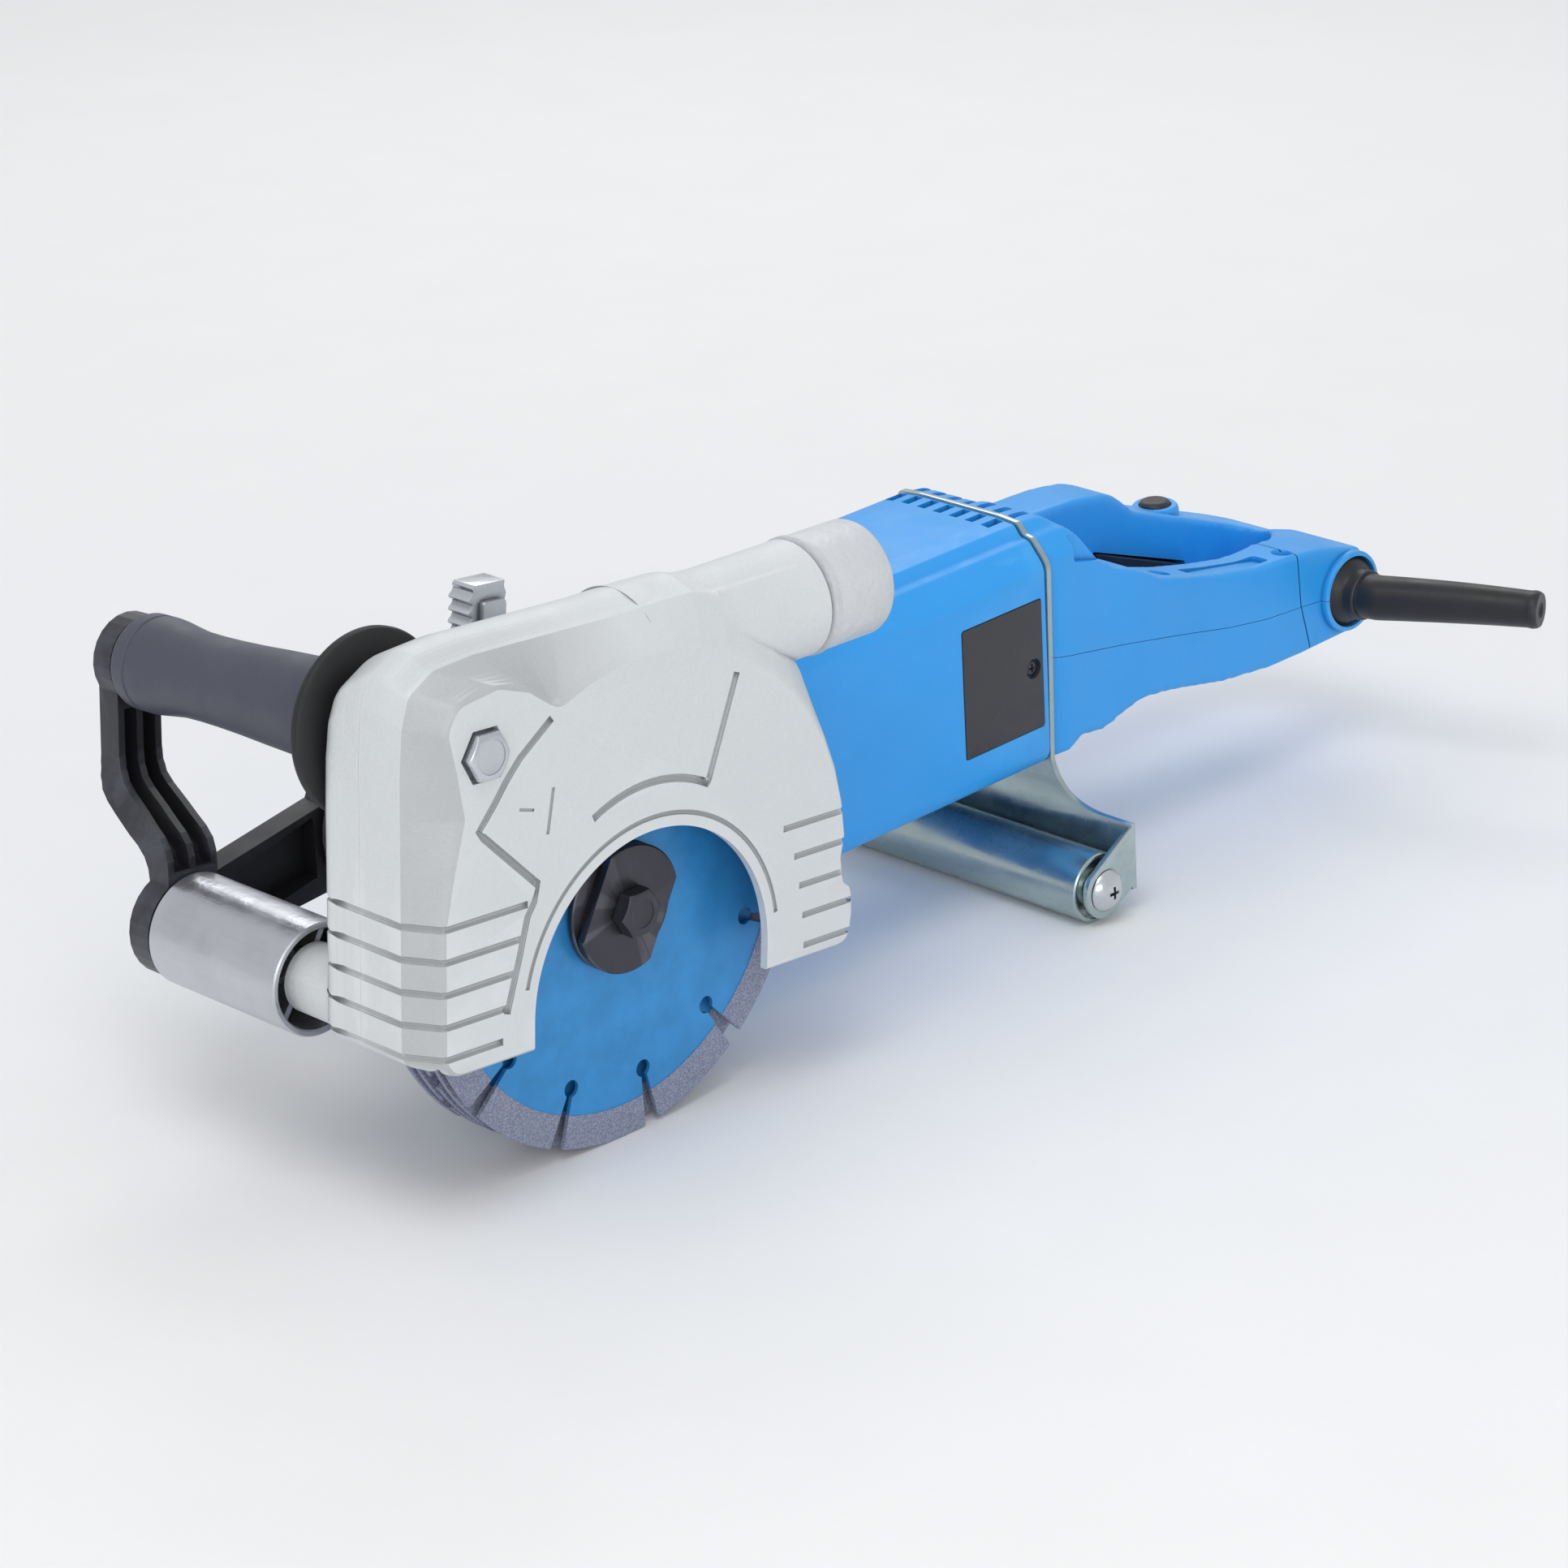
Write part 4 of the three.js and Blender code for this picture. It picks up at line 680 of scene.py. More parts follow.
def hex_head(tip, seat):
    """A hexagon head whose corners are turned off at the tip, which points to the open side."""
    corner = HEAD_ACROSS / math.sqrt(3) + 1
    flat = HEAD_ACROSS / 2
    cap = lathe("Y", [(0, seat + 1), (corner, seat + 1), (corner, tip + 1.6), (flat - 0.4, tip),
                      (flat - 1.4, tip - 0.01), (0, tip - 0.01)])
    return round_over(keep(prism("Y", hexagon((0, 0), HEAD_ACROSS), tip, seat), cap), 0.2)


def build_blade_bolt():
    head = hex_head(-14.4, -8.1)
    dimple = lathe("Y", [(0, -15), (5.6, -15), (5.6, -14.1), (5, -13.9), (0, -13.9)], sides=48)
    shank = rod("Y", 4.9, -8.2, 18, sides=32)
    bolt = join(cut(head, dimple), shank)
    piece(bolt, "blade_bolt_head", MOTOR, "spindle", "blade_bolt", DARK)


# -------------------------------- guard

GUARD_NEAR = -21.5
GUARD_FAR = 36
PARTING = 14
BOTTOM = -35.6
ROOF = 119.5
ROOF_START, ROOF_SPAN = 62, 50
FRONT = -112.5
NECK = 30.6
ROLLER = (-97, -20)
DUCT = GUARD @ Matrix.Translation((0, 7, 92)) @ Matrix.Rotation(-math.radians(3), 4, "Y")
DUCT_RADIUS = 22.9
SHOULDER = -8
WALL = 3.5
ARCH_CENTRE = (-1, -24.4)
HALF_GAP = 0.06

FACE = [
    (-99, BOTTOM), (-104, -29), (-104, 22), (-100, 42), (-95, 61), (-99, 80), (-103, 95), (-97, 104),
    (-78, 107), (-63, 102.5), (-52.6, 95.6),
    *arc((-3, 1), 103, 116, 4, 14),
    (98, 0), (99.5, -11.5), (104, -13), (104.5, -24), (103, BOTTOM),
]
BODY = [
    (-107, BOTTOM + 2), (FRONT, -29), (FRONT, 22), (FRONT, 42), (FRONT, 61), (FRONT, 80), (FRONT + 1, 98),
    (FRONT + 4, 110), (-97, ROOF - 2), (-78, ROOF), (-56, ROOF), (-40, ROOF), (-26, ROOF), (-12, ROOF),
    (2, ROOF + 0.5), (16, ROOF + 1), (30, ROOF + 1), (44, 117), (57, 110), (69, 100), (79, 88), (87, 75),
    (93, 61), (97.5, 46), (100.5, 31), (102.5, 16), (103.5, 0), (104, -11.5), (105.5, -13), (105.5, -24),
    (104, BOTTOM),
]


def roofed(drop, side=0.0):
    """The body outline where the roof has fallen by drop, and the ends have come in a little with side."""
    out = []
    for x, z in BODY:
        share = min(1, max(0, (z - ROOF_START) / ROOF_SPAN))
        out.append((x * (1 - (side + 0.05 * drop * share) / 110), z - drop * share))
    return out


def guard_form(shrink=0.0):
    """The guard's outer form, or the same moved inwards by shrink."""
    def ready(points, extra=0.0):
        return fillet(inset(points, shrink + extra) if shrink + extra else points, 7)

    face = ready(FACE)
    shoulder = ready(roofed(4))
    rings = [[(x, GUARD_NEAR + depth, z) for x, z in ready(FACE, extra)]
             for depth, extra in ((0, 1.1), (0.35, 0.35))]
    span = SHOULDER - GUARD_NEAR
    for k in range(8):
        t = (1.2 + (span - 1.2) * k / 8) / span
        rings.append([(a[0] + (b[0] - a[0]) * t, GUARD_NEAR + span * t, a[1] + (b[1] - a[1]) * t)
                      for a, b in zip(face, shoulder)])
    keys = [(SHOULDER, shoulder), (7, ready(roofed(0))), (22, ready(roofed(5))), (31, ready(roofed(12))),
            (GUARD_FAR, ready(roofed(20, 3)))]
    steps = 22
    for k in range(steps + 1):
        y = SHOULDER + (GUARD_FAR - SHOULDER) * k / steps
        rings.append([(x, y, z) for x, z in smooth_between(keys, y)])
    if not shrink:
        rings[-1] = [(x, GUARD_FAR, z) for x, z in fillet(inset(roofed(20, 3), 1.5), 7)]
    return skin(rings)


def groove(points, y, radius):
    return tube([(x, y, z) for x, z in points], radius, 10)


def face_grooves():
    """The channels pressed in the open side, and two short marks."""
    y = GUARD_NEAR + 0.75
    curved = [(40, 86.7), (26, 47.7), *arc((-3, -8), 62, 62, 118, 14)]
    angular = [(-52.5, 89.6), (-60, 84), (-68, 78), (-74.5, 71), (-79.8, 64), (-84.5, 58.5), (-87.5, 55),
               (-85.5, 52.5), (-59.1, 28.3), (-61, 22), (-64.2, 17.2), (-68.1, 2.7), (-74.1, -17.6)]
    return [
        groove(curved, y, 1.8),
        groove(angular, y, 1.8),
        groove([(-51.7, 63.4), (-54.4, 46.3)], GUARD_NEAR, 0.8),
        groove([(-68.1, 58.8), (-61, 57)], GUARD_NEAR, 0.6),
    ]


def side_ribs():
    """Finger ribs at both lower ends, which wrap round the shoulder."""
    cutters = []
    front_ends = (-64, -66, -70, -73, -76)
    rear_ends = (66, 72, 75, 77, 78)
    rear_edges = (99.8, 100.6, 101.2, 103.8, 103.3)
    for i, (front, rear, edge) in enumerate(zip(front_ends, rear_ends, rear_edges)):
        z = 22 - 12.4 * i
        path = [(front, -21.4), (-90, -21.4), (-103.5, -21.2), (-106.5, -17.4), (-112.2, -8.2), (-112.7, 6),
                (-112.9, 20), (-111, 33), (-107, 36.5)]
        cutters.append(tube([(x, y, z) for x, y in path], 1.45, 10))
        path = [(rear, -21.4), (90, -21.4), (edge - 1, -21.3), (edge + 2.2, -14), (edge + 4, -8)]
        cutters.append(tube([(x, y, z - 3) for x, y in path], 1.35, 10))
    return cutters


def guard_cavity():
    """The hollow between the guard's walls, open below."""
    near, far = GUARD_NEAR + WALL, GUARD_FAR - WALL
    side = [(-108, BOTTOM - 5), (-108, 92), (-100, 106), (-90, 110), (30, 110),
            *arc((0, 0), 98, 62, -22, 30), (97, BOTTOM - 5)]
    cavity = keep(prism("Y", side, near, far), guard_form(WALL + 0.1))
    return join(cavity, block(-104, 99, near, far, -60, BOTTOM + 8))


def build_guard():
    """Two cast shells with the dust duct, the clamp collar, the roller boss and the grip's sleeve."""
    body = guard_form()
    duct = lathe("X", [(0, 5), (DUCT_RADIUS + 5, 5), (DUCT_RADIUS + 1.6, 30), (DUCT_RADIUS, 52),
                       (DUCT_RADIUS, 95.8), (DUCT_RADIUS - 0.6, 96.4), (0, 96.4)])
    boss = keep(rod("Y", 13.5, GUARD_FAR - 4, 59, ROLLER, 72), block(-130, 0, 0, 80, -60, 60))
    seat = rod("Y", 17, GUARD_FAR - 6, GUARD_FAR + 1.5, (GRIP_ROOT[0], 80), 64)
    collar = lathe("Y", [(0, 32), (38, 32), (38, 49.2), (37.2, 50), (0, 50)])
    ears = prism("Y", fillet([(-13, 30), (14, 30), (14, 55), (-13, 55)], 5, 5), GUARD_FAR - 4, 51.6)
    body = join(body, into_guard(duct, DUCT), boss, seat, collar, ears)
    cavity = guard_cavity()
    arch = [(-60.5, -70), *arc(ARCH_CENTRE, 59.5, 180, 0, 64), (58.5, -70)]
    body = cut(
        body, cavity,
        prism("Y", arch, GUARD_NEAR - 5, GUARD_NEAR + 8.5),
        into_guard(rod("X", 19.6, 0, 103), DUCT),
        rod("Y", NECK, 20, 60, sides=96),
        block(-2, 2, 30.5, 60, 20, 70),
        rod("X", 3.4, -30, 30, (47, 48), 24),
        rod("Y", 4.4, 0, 80, ROLLER, 32),
    )
    sleeve = keep(into_guard(rod("Y", 11, 0.5, 54), GRIP), block(-130, 0, -20.5, 36, 50, 110))
    body = join(body, sleeve)
    socket = prism("Y", hexagon((0, 0), 19.6), -8, 3.4)
    body = cut(body, into_guard(rod("Y", 5.4, -5, 80), GRIP), into_guard(socket, GRIP))
    lip = tube([(x, GUARD_NEAR + 0.15, z) for x, z in arc(ARCH_CENTRE, 64.6, 168, 10, 48)], 1.0, 8)
    for tool in [lip, *face_grooves(), *side_ribs()]:
        body = cut(body, tool)
    far = keep(twin(body), block(-150, 150, PARTING + HALF_GAP, 90, -80, 160))
    near = keep(body, block(-150, 150, -40, PARTING - HALF_GAP, -80, 160))
    piece(near, "guard_open_side", GUARD, "guard", "guard_near_shell", SILVER, 24)
    piece(far, "guard_clamp_side", GUARD, "guard", "guard_far_shell", SILVER, 24)


def build_adapter():
    """A sleeve pushed into the duct, with a bead where it comes out."""
    wall = [(16.6, 80), (19.3, 80), (19.3, 98.3), (22.6, 98.3), (23.5, 98.9), (23.5, 100.4), (22.9, 101),
            (22.9, 128.8), (22.4, 130), (20.6, 130), (19.9, 128.6), (19.4, 112), (16.6, 110)]
    piece(lathe("X", wall), "hose_adapter_sleeve", DUCT, "guard", "hose_adapter", SCUFFED)


# -------------------------------- guard clamp


def build_lever():
    """Forged lever with a ridged thumb pad."""
    lean = Matrix.Translation((-24, 47, 48)) @ Matrix.Rotation(math.radians(2.4), 4, "Y")
    shank = [(-4, -4), (4, -4), (4, 10), (6, 42), (6, 64), (-5, 64), (-5, 44), (-4, 10)]
    stem = join(prism("Y", fillet(shank, 2, 3), -3.8, 3.8), rod("Y", 7.4, -4, 4))
    ridged = [(8, 45)]
    ridged += [(9 - 0.2 * i + (0.9 if i % 2 else 0), 47 + 2.6 * i) for i in range(9)]
    ridged += [(7.6, 70.4), (-7.4, 70.2), (-8.6, 69)]
    for i in range(5):
        z = 66.4 - 4.8 * i
        ridged += [(-8, z + 1.2), (-8.6, z - 0.2), (-10.1, z - 1.6), (-10.2, z - 2.4)]
    pad = prism("Y", ridged, -1, 10.4)
    rivet = lathe("Y", [(0, -1.6), (2.4, -1.4), (3, -0.6), (3, 0.5), (0, 0.5)], (5.2, 58.5), 32)
    lever = join(round_over(pad, 0.5), stem, rivet)
    lever = cut(lever, rod("Y", 3.3, -10, 10, sides=32), block(-20, 20, -2.2, 2.2, -10, 9))
    piece(moved(lever, lean), "clamp_lever_pad", GUARD, "clamp_lever", "clamp_lever", BRIGHT,
          28)


# -------------------------------- front grip


def build_grip():
    """A barrelled sleeve with a ring near its far end, and the broad flange in front of it."""
    start = 65
    line = [(5.6, start), (17.2, start), (17.6, start + 0.8), (18.3, 74), (18.8, 84), (18.6, 97), (18, 110),
            (17.1, 126), (16.6, 140), (16.45, 150), (16.6, 160), (17.5, 168), (18.3, 174), (18.6, 178),
            (18.6, 180.2), (18.1, 180.7), (18.1, 181.6), (18.6, 182.1), (18.6, 187), (17.9, 188.8),
            (16.6, 190), (5.6, 190)]
    flange = [(5.6, 60.4), (20, 60.4), (33.8, 60.2), (35, 60.8), (35.6, 62), (35.5, 63.4), (34.6, 64.6),
              (33, 65.1), (26, 64.9), (19, 64.8), (5.6, 64.8)]
    piece(lathe("Y", line), "front_grip_sleeve", GRIP, "guard", "front_grip", RUBBER)
    piece(lathe("Y", flange, sides=128), "front_grip_flange", GRIP, "guard", "grip_flange",
          DARK_RUBBER)


def build_grip_bolt():
    head = hex_head(-3.4, 2.7)
    dish = lathe("Y", [(0, -4), (6.6, -4), (6.6, -3.2), (6.2, -3.1), (0, -3.1)], sides=64)
    bolt = join(cut(head, dish), rod("Y", 4.9, 2, 199, sides=32))
    piece(bolt, "grip_bolt_head", GRIP, "guard", "grip_bolt", BRIGHT)


def build_front_roller():
    """A tube carried by six webs round its hub."""
    x, z = ROLLER
    wall = [(19.4, 55.6), (20, 55), (21.4, 55), (22, 55.6), (22, 126.8), (21.2, 127.6), (19.4, 127.6)]
    drum = lathe("Y", wall, ROLLER)
    hub = lathe("Y", [(4.3, 63), (8.4, 63), (9, 63.6), (9, 123.6), (4.3, 123.6)], ROLLER, 64)
    webs = []
    for turn in range(6):
        spot = Matrix.Translation((x, 0, z)) @ Matrix.Rotation(math.radians(60 * turn), 4, "Y")
        webs.append(moved(block(8.6, 19.9, 64, 120, -1.2, 1.2), spot))
    roller = join(drum, *webs, hub)
    piece(roller, "front_roller_drum", GUARD, "front_roller", "front_roller", BRUSHED)


# -------------------------------- motor housing

HOUSING = (62, 283.7)
SIDE = (40, 136)
LOW, HIGH = -50, 50
COVER = (233, 280.4, -31, 25)
COVER_SCREW = (274.5, -4)
MOTOR_Y = 88
DECK_RISE = 3.2
DECK_START, DECK_RUN = 70, 120
VENTS = [(61 + 9 * i, 65.4 + 9 * i) for i in range(7)]


def housing_section(x, shrink=0.0):
    """The square section, with a raised deck whose near and far edges slope up towards the rear."""
    rise = DECK_RISE * min(1, max(0, (x - DECK_START) / DECK_RUN))
    edge = SIDE[0] + shrink - MOTOR_Y
    low, high = LOW + shrink, HIGH - shrink
    half = [(0, low), (edge, low), (edge, high - 12), (edge + 8, high - 2.5), (edge + 12.5, high - 1.6),
            (edge + 16, high + rise - 0.4), (-22, high + rise + 0.6)]
    other = [(-u, v) for u, v in reversed(half[1:])]
    radii = (3, 9, 9, 4, 3, 2.5, 12)
    return mixed_fillet([(MOTOR_Y + u, v) for u, v in half + other], radii + radii[:0:-1])


def housing_form(shrink=0.0, overrun=0):
    """The housing's outside with eased ends, or a cavity that runs past both ends by overrun."""
    x0, x1 = HOUSING
    rings = []
    for x in [x0, x0 + 0.8, *(x0 + 10 + 20 * i for i in range(11)), x1 - 0.5, x1]:
        edge = 0.7 if x in HOUSING and not shrink else 0
        shift = {x0: -overrun, x1: overrun}.get(x, 0)
        rings.append([(x + shift, y, z) for y, z in housing_section(x, shrink + edge)])
    return skin(rings)


def cover_tools():
    """The seat of each brush cover, with a deeper window in it."""
    x0, x1, z0, z1 = COVER
    room = 0.35
    for side, sign in ((SIDE[0], 1), (SIDE[1], -1)):
        near, deep = sorted((side - sign, side + 2.4 * sign))
        yield prism("Y", rounded_box(x0 - room, x1 + room, z0 - room, z1 + room, 1.6), near, deep)
        near, deep = sorted((side - sign, side + 6 * sign))
        yield prism("Y", rounded_box(240, 262, -18, 12, 3), near, deep)


def build_housing():
    """A square shell with a bearing web, a front collar, the covers' seats and vents in the deck."""
    body = cut(housing_form(), housing_form(3.4, 1))
    web = prism("X", rounded_box(42.5, 133.5, -47.5, 46.5, 10), 268, 275)
    collar = prism("X", rounded_box(42.5, 133.5, -47.5, 45, 10), HOUSING[0] + 0.2, 66)
    holes = [rod("X", 13, 260, 280, (MOTOR_Y + 31 * math.cos(a), 31 * math.sin(a)), 32)
             for a in (math.radians(45 + 90 * k) for k in range(4))]
    web = cut(web, rod("X", 13.1, 260, 280, (MOTOR_Y, 0)), *holes)
    body = join(body, web, cut(collar, rod("X", 40.8, 60, 70, (MOTOR_Y, 0), 72)))
    for tool in cover_tools():
        body = cut(body, tool)
    vent = fillet([(272, 49), (275, 60), (282.6, 60), (282.6, 48)], 0.6, 3)
    body = cut(body, merge(*[prism("Y", vent, y0, y1) for y0, y1 in VENTS]))
    piece(body, "motor_housing_shell", MOTOR, "motor_unit", "motor_housing", BLUE, 28)


def build_brush_cover(side, sign, name):
    y0, y1 = sorted((side - 0.4 * sign, side + 2 * sign))
    plate = round_over(prism("Y", rounded_box(*COVER, 1.4), y0, y1), 0.4)
    y0, y1 = sorted((side - sign, side + 2.6 * sign))
    plate = cut(plate, rod("Y", 4.3, y0, y1, COVER_SCREW))
    piece(plate, f"{name}_plate", MOTOR, "motor_unit", name, GREY)


def cross_recess(radius, start, end, centre):
    """Two crossed slots that narrow as they go in."""
    bars = []
    for turn in (0, 1):
        rings = []
        for depth, scale in ((start, 1.0), (end, 0.45)):
            half = [(radius * scale, radius * 0.2), (radius * 0.2, radius * scale)][turn]
            rings.append([(centre[0] + half[0] * u, depth, centre[1] + half[1] * v)
                          for u, v in ((-1, -1), (1, -1), (1, 1), (-1, 1))])
        bars.append(skin(rings))
    return join(*bars)


def build_cover_screw(side, sign, name):
    face = side + 0.5 * sign
    dome = [(0, face), (2.2, face + 0.05 * sign), (3.1, face + 0.4 * sign), (3.6, face + 0.9 * sign),
            (3.6, side + 2.1 * sign), (0, side + 2.1 * sign)]
    recess = cross_recess(2.2, face - 0.5 * sign, face + 1.3 * sign, COVER_SCREW)
    head = cut(lathe("Y", dome, COVER_SCREW, 48), recess)
    piece(head, f"{name}_head", MOTOR, "motor_unit", name, DARK)


# -------------------------------- rear support and roller

REAR = (267.6, -89.5)
EARS = (-3, 179)
SHEET = 2.5


def build_support():
    """Folded sheet: crown behind the motor, two wings, a bottom web and an ear at each side."""
    x0, x1 = 284, 284 + SHEET
    wing = [(SIDE[0] + 0.5, -46), *bezier((40.4, -48), (36, -65), (14, -66), 12), (EARS[0], -66),
            (EARS[0], -95)]
    mirrored = [(2 * MOTOR_Y - y, z) for y, z in reversed(wing)]
    outline = [(y, z) for y, z in housing_section(HOUSING[1], -0.8) if z > 34]
    crown = sorted(outline, key=lambda p: math.atan2(p[1], p[0] - MOTOR_Y))
    sheet = prism("X", [*wing, *mirrored, *crown], x0, x1)
    sheet = cut(sheet, prism("X", rounded_box(56, 120, -30, 34, 10), x0 - 1, x1 + 1))
    ear = [(x1, -66), *arc(REAR, 12, 140, 290, 28), (x1, -92)]
    for y in (EARS[0], EARS[1] - SHEET):
        sheet = join(sheet, prism("Y", ear, y, y + SHEET))
    sheet = cut(sheet, rod("Y", 3.4, -10, 190, REAR))
    piece(round_over(sheet, 0.45, 2, 40), "rear_support_sheet", MOTOR, "motor_unit", "rear_support_plate",
          ZINC, 30)


def build_rear_roller():
    wall = [(6.3, 3), (8.4, 3), (8.4, 4.4), (12.9, 4.4), (12.9, 1.9), (13.4, 1.4), (14.4, 1.4), (15, 2),
            (15, 174), (14.4, 174.6), (13.4, 174.6), (12.9, 174.1), (12.9, 171.6), (8.4, 171.6), (8.4, 173),
            (6.3, 173), (6.3, 161), (12.9, 161), (12.9, 15), (6.3, 15)]
    piece(lathe("Y", wall, REAR), "rear_roller_tube", MOTOR, "rear_roller", "rear_roller", ZINC)


def build_axle_screw(face, sign, name):
    profile = [(0, 4.6), (2.4, 4.4), (4.6, 3.9), (6.6, 2.9), (8, 1.7), (8.8, 0.7), (9, 0.2), (8.8, 0),
               (2.3, 0), (2.3, -16.8), (0, -17)]
    screw = lathe("Y", [(r, face + sign * d) for r, d in profile], REAR, 64)
    recess = cross_recess(3.4, face + sign * 5.4, face + sign * 1.8, REAR)
    piece(cut(screw, recess), f"{name}_head", MOTOR, "motor_unit", name, BRIGHT)


def build_pivot_screw():
    profile = [(0, 137), (3.9, 137), (3.9, 146.4), (24.4, 146.4), (25, 146.9), (25, 147.5), (24.4, 148),
               (8.6, 148), (8, 148.7), (7.6, 151), (6.4, 152.8), (3.5, 153.6), (0, 153.8)]
    screw = cut(lathe("Y", profile), cross_recess(3, 154.4, 151, (0, 0)))
    piece(screw, "pivot_screw_head", MOTOR, "motor_unit", "pivot_screw", BRIGHT)


# -------------------------------- rear handle

START, TAIL_END = 286.8, 508
GLAND = (487, -36.5)
TOP_NEAR = [(START, 53.8), (300, 52), (307, 46), (312, 40), (317, 34), (322, 28), (334, 21), (345, 17),
            (362, 8), (380, 2.5), (403, -3), (426, -7.5), (450, -9), (470, -12), (485, -16), (498, -20),
            (TAIL_END, -27)]
TOP_FAR = [(START, 53.8), (300, 50.5), (307, 43), (322, 32), (345, 26), (363, 25.5), (380, 24.5), (395, 22),
           (403, 19), (409, 14), (415, 8.5), (430, 2.5), (461, -9), (480, -16), (498, -23), (TAIL_END, -30)]
UNDER = [(TAIL_END, -48), (500, -55.5), (480, -56.5), (455, -57), (431, -56), (405, -53), (372, -46),
         (352, -42.5), (344, -42.5), (320, -47), (306, -45), (296, -49), (START, -49.5)]
PLAN = [(START, 40.5), (330, 43), (380, 45), (450, 46.5), (490, 46.5), (503, 50), (TAIL_END, 62),
        (TAIL_END, 108), (503, 122), (490, 129), (460, 131.5), (420, 133), (340, 133.5), (START, 135.5)]
HOLE = [(326, 74), (334, 69), (350, 68), (440, 69), (466, 73), (480, 84), (482, 92), (474, 101), (455, 106),
        (380, 107), (345, 107), (330, 103), (324, 92)]
SEAM = [(280, -3), (294, -5.5), (337, -13.7), (369, -20.5), (406, -28.6), (431, -32.7),
        (475, GLAND[1]), (530, GLAND[1])]
SPLIT = [(450, 12), (452, -6), (454.4, -34), (460.7, -57), (466, -80)]
TOP_SCREWS = [(372, 55), (450, 53)]
BOTTOM_SCREWS = [((494, 88), 22), ((381, 126), 32), ((322, 118), 32)]
TRIGGER = [(388, -3), (388, -20), (446, -42), (446, -25)]
LOCK = (446, 122)


def height_at(line, x):
    i = next(k for k, (u, _) in enumerate(line) if u > x)
    (u0, v0), (u1, v1) = line[i - 1], line[i]
    return v0 + (v1 - v0) * (x - u0) / (u1 - u0)


def handle_form(shrink=0.0, extra=0.0):
    """The D-shaped handle, each bar with its own top line. extra lengthens the flat front end."""
    def ready(points, distance, radius):
        points = [(x - (extra if x == START else 0), v) for x, v in points]
        return fillet(inset(points, distance) if distance else points, radius)

    near = prism("Y", ready([*TOP_NEAR, *UNDER][::-1], shrink, 9), 30, MOTOR_Y)
    far = prism("Y", ready([*TOP_FAR, *UNDER][::-1], shrink, 9), MOTOR_Y, 145)
    outside = prism("Z", ready(PLAN, shrink, 14), -120, 80)
    hole = prism("Z", ready(HOLE, -shrink, 10), -130, 90)
    x0, x1 = START - extra - 2, TAIL_END + 2
    envelope = join(prism("X", housing_section(HOUSING[1], shrink), x0, x1),
                    block(x0, x1, SIDE[0] + shrink, SIDE[1] - shrink, -100, 0))
    return cut(keep(join(near, far), outside, envelope), hole)


def screw_pits():
    """Countersunk wells: two from above in the near bar, the others from below."""
    pits = []
    for spot in TOP_SCREWS:
        seat = height_at(TOP_NEAR, spot[0]) - 8
        pits.append(rod("Z", 2.2, seat - 35, seat + 1, spot, 24))
        well = [(0, seat), (3.8, seat), (3.8, seat + 6.4), (5.8, seat + 9.6), (5.8, 70), (0, 70)]
        pits.append(lathe("Z", well, spot, 40))
    for spot, length in BOTTOM_SCREWS:
        seat = height_at(UNDER[::-1], spot[0]) + 8
        pits.append(rod("Z", 2.2, seat - 1, seat + length + 1, spot, 24))
        pits.append(rod("Z", 3.8, -80, seat, spot, 32))
    return pits


def trigger_opening():
    """The trigger's side outline with a millimetre of room all round."""
    (x0, top0), (_, low0), (x1, low1), (_, top1) = TRIGGER
    return fillet([(x0 - 1, top0 + 1), (x0 - 1, low0 - 1), (x1 + 1, low1 - 1), (x1 + 1, top1 + 1)], 1.5)


def build_handle():
    """Two halves parted along the seam, with the lock's collar, the cable boss and all pockets."""
    form = melt(handle_form(extra=4), 1.3, 10)
    form = keep(form, block(START, TAIL_END, 30, 145, -120, 80))
    rise = [(0, -20), (11.6, -20), (11.0, -9), (10.5, -2.4), (10, -1.2), (9.4, -0.6), (0, -0.6)]
    collar = lathe("Z", rise, LOCK, 64)
    boss = lathe("Y", [(0, 43.5), (17.3, 43.5), (17.9, 43.8), (18.2, 44.5), (18.2, 60), (0, 60)], GLAND, 96)
    form = join(form, collar, boss)
    form = cut(
        form, *screw_pits(),
        prism("X", rounded_box(50, 126, -36, 32, 8), START - 1, 306),
        prism("Y", trigger_opening(), 90, 119.2),
        block(397.7, 436.3, 118.5, 128.3, -38.3, -16.7),
        block(476.7, 497.3, 60, 76.3, -47.3, -28),
        rod("Z", 7.4, -11.6, 10, LOCK),
        rod("Z", 3.4, -19.6, -8, LOCK),
        rod("Y", 16.1, 40, 47.1, GLAND, 96),
        rod("Y", 12.4, 46, 62.3, GLAND),
    )
    form = cut(form, split_groove(), shoulder_notch())
    for tool in recess_tools():
        form = cut(form, tool)
    above, below = ([(x, z + lift) for x, z in SEAM] for lift in (0.15, -0.15))
    lower = keep(twin(form), prism("Y", [*below, (530, -140), (280, -140)], 20, 150))
    upper = keep(form, prism("Y", [*above, (530, 100), (280, 100)], 20, 150))
    piece(upper, "handle_upper_half", MOTOR, "motor_unit", "handle_upper", BLUE, 40)
    piece(lower, "handle_lower_half", MOTOR, "motor_unit", "handle_lower", BLUE, 40)


def split_groove():
    """The fine joint across the near bar, just ahead of the cable entry."""
    strip = prism("Y", [*SPLIT, *[(x + 0.8, z) for x, z in SPLIT[::-1]]], 30, 72)
    return cut(strip, handle_form(1.1))


def shoulder_notch():
    """A step in the hump's near side."""
    return prism("Y", fillet([(302, 60), (303.5, 33.5), (323, 28), (335, 60)], 2), 30, 45.5)


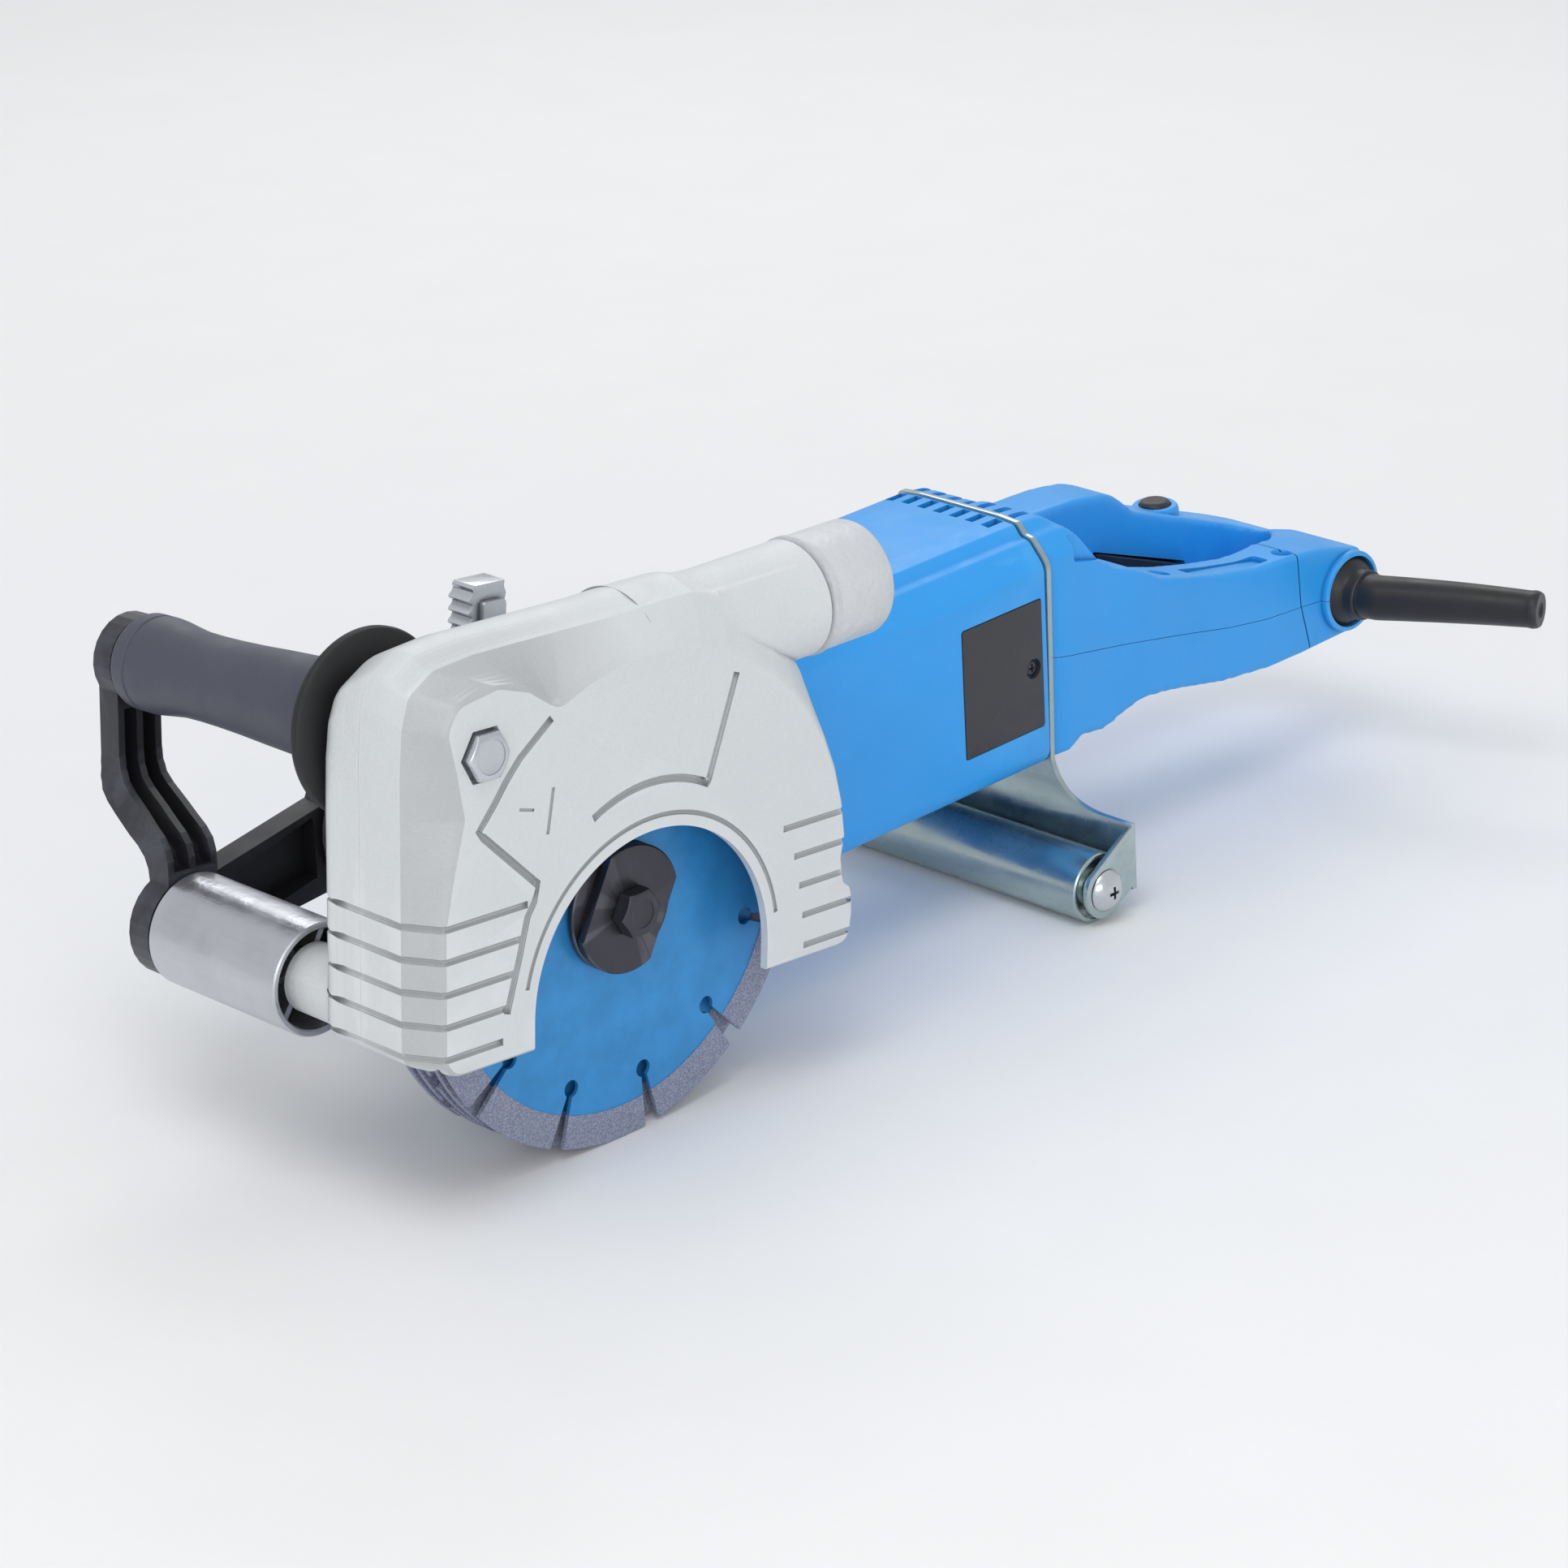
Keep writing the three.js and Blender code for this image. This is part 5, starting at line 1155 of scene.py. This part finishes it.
def recess_tools():
    """The shallow panel between two screws on the near bar, and the vent slots in front."""
    slope = math.atan2(height_at(TOP_NEAR, 435) - height_at(TOP_NEAR, 387), 48)
    panel = prism("Z", rounded_box(-26, 26, -4.5, 4.5, 2.4), -0.9, 6)
    turned = Matrix.Translation((412, 54.5, height_at(TOP_NEAR, 412))) @ Matrix.Rotation(-slope, 4, "Y")
    vent = [(START - 2, 48), (START - 2, 60), (315, 60), (306, 43)]
    return [moved(panel, turned), *[prism("Y", vent, y0, y1) for y0, y1 in VENTS]]


def build_trigger():
    """A paddle with a rounded front, trimmed to the opening's slanted outline."""
    outline = [(388, 112), (388, 105), (396, 101), (434, 99.5), (444, 101.5), (446, 106), (446, 112)]
    paddle = keep(prism("Z", fillet(outline, 3, 6), -60, 10), prism("Y", fillet(TRIGGER, 2), 90, 120))
    piece(round_over(paddle, 1.2, 4), "trigger_paddle", MOTOR, "trigger", "trigger", BLACK)


def build_lock_button():
    profile = [(0, -16), (3, -16), (3, -8), (7, -8), (7, -0.4), (6.7, 0.4), (5.8, 1.1), (4, 1.4), (2, 1.3),
               (0, 1.2)]
    cap = lathe("Z", profile, LOCK, 64)
    piece(cap, "lock_button_cap", MOTOR, "lock_button", "lock_button", BLACK)


# -------------------------------- cable entry


def build_gland():
    profile = [(5, 35), (10.2, 35), (10.8, 35.2), (11.3, 35.9), (11.3, 40.2), (11.8, 41.2), (13.6, 43.2),
               (15.2, 44.8), (15.7, 45.4), (15.7, 46.3), (15.2, 46.8), (12.1, 46.8), (12.1, 62), (5, 62)]
    collar = lathe("Y", profile, GLAND)
    piece(collar, "cable_gland_collar", MOTOR, "motor_unit", "cable_gland", BLACK)


def build_cable_guard():
    """Moulded sleeve that leaves the near side and leans to the rear, with a bead at its dished end."""
    reach, lean = 74.7, 27.2

    def centre(t):
        return (GLAND[0] + lean * max(0, t - 0.08), 34.7 - reach * t, GLAND[1] + 5.6 * t - 2.6 * t * t)

    def radius(t):
        bead = 0.36 * math.exp(-((t - 0.965) / 0.018) ** 2)
        return 10.05 - 1.4 * t - 0.7 * t * t + bead - (0.5 if t > 0.998 else 0)

    steps = 80
    sleeve = tube([centre(k / steps) for k in range(steps + 1)], radius, 48)
    ball = lathe("Y", [(5.6 * math.sin(a), 6.2 * math.cos(a) - 4.8) for a in
                       (math.pi * k / 16 for k in range(16, -1, -1))], sides=40)
    turn = Matrix.Rotation(math.atan2(lean, reach), 4, "Z")
    ball = moved(ball, Matrix.Translation(centre(1)) @ turn)
    piece(cut(sleeve, ball), "cable_guard_sleeve", MOTOR, "motor_unit", "cable_guard", BLACK)


# -------------------------------- CAD nodes that stay


def dress_cad_nodes():
    """The CAD nodes whose shape is right get rounded edges and a worked finish."""
    finishes = {
        CAST: ["gear_housing", "gear_cover"],
        STEEL: ["spindle_bearing", "front_bearing", "rear_bearing", "rear_axle", "output_spindle",
                "bevel_gear", "armature_shaft", "bevel_pinion", "front_roller_axle", "switch_plunger"],
        DARK: ["stator_core", "inner_flange", "armature_core", *[f"handle_screw_{i + 1}" for i in range(5)]],
        COPPER: ["field_coils", "commutator"],
        CARBON: ["brush_gear"],
        BLACK: ["switch_body", "cord_clamp", "cooling_fan", "front_bracket"],
        BRIGHT: ["clamp_pin"],
        ZINC: ["clamp_bolt"],
    }
    rounding = {"front_bracket": 0.9, "gear_housing": 1.0, "gear_cover": 0.5}
    for material, names in finishes.items():
        for name in names:
            node = frame["nodes"][name]
            if not node.data.materials:
                node.data.materials.append(material)
            for slot in node.material_slots:
                slot.material = material
            step = node.modifiers.new("round", "BEVEL")
            step.width = rounding.get(name, 0.25) * MM
            step.segments = 2
            step.limit_method = "ANGLE"
            step.angle_limit = math.radians(34)


add_camera()
add_studio()
for blade in range(BLADES):
    build_blade(blade)
build_outer_flange()
build_blade_bolt()
build_guard()
build_adapter()
build_lever()
build_grip()
build_grip_bolt()
build_front_roller()
build_housing()
for edge, inward, label in ((SIDE[0], 1, "near"), (SIDE[1], -1, "far")):
    build_brush_cover(edge, inward, f"brush_cover_{label}")
    build_cover_screw(edge, inward, f"brush_cover_screw_{label}")
build_support()
build_rear_roller()
build_axle_screw(EARS[0] - 0.3, -1, "rear_axle_screw_near")
build_axle_screw(EARS[1] + 0.3, 1, "rear_axle_screw_far")
build_pivot_screw()
build_handle()
build_trigger()
build_lock_button()
build_gland()
build_cable_guard()
dress_cad_nodes()

str([[[round(v, 5) for v in corner] for corner in box] for box in (CAD_BOX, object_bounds())])
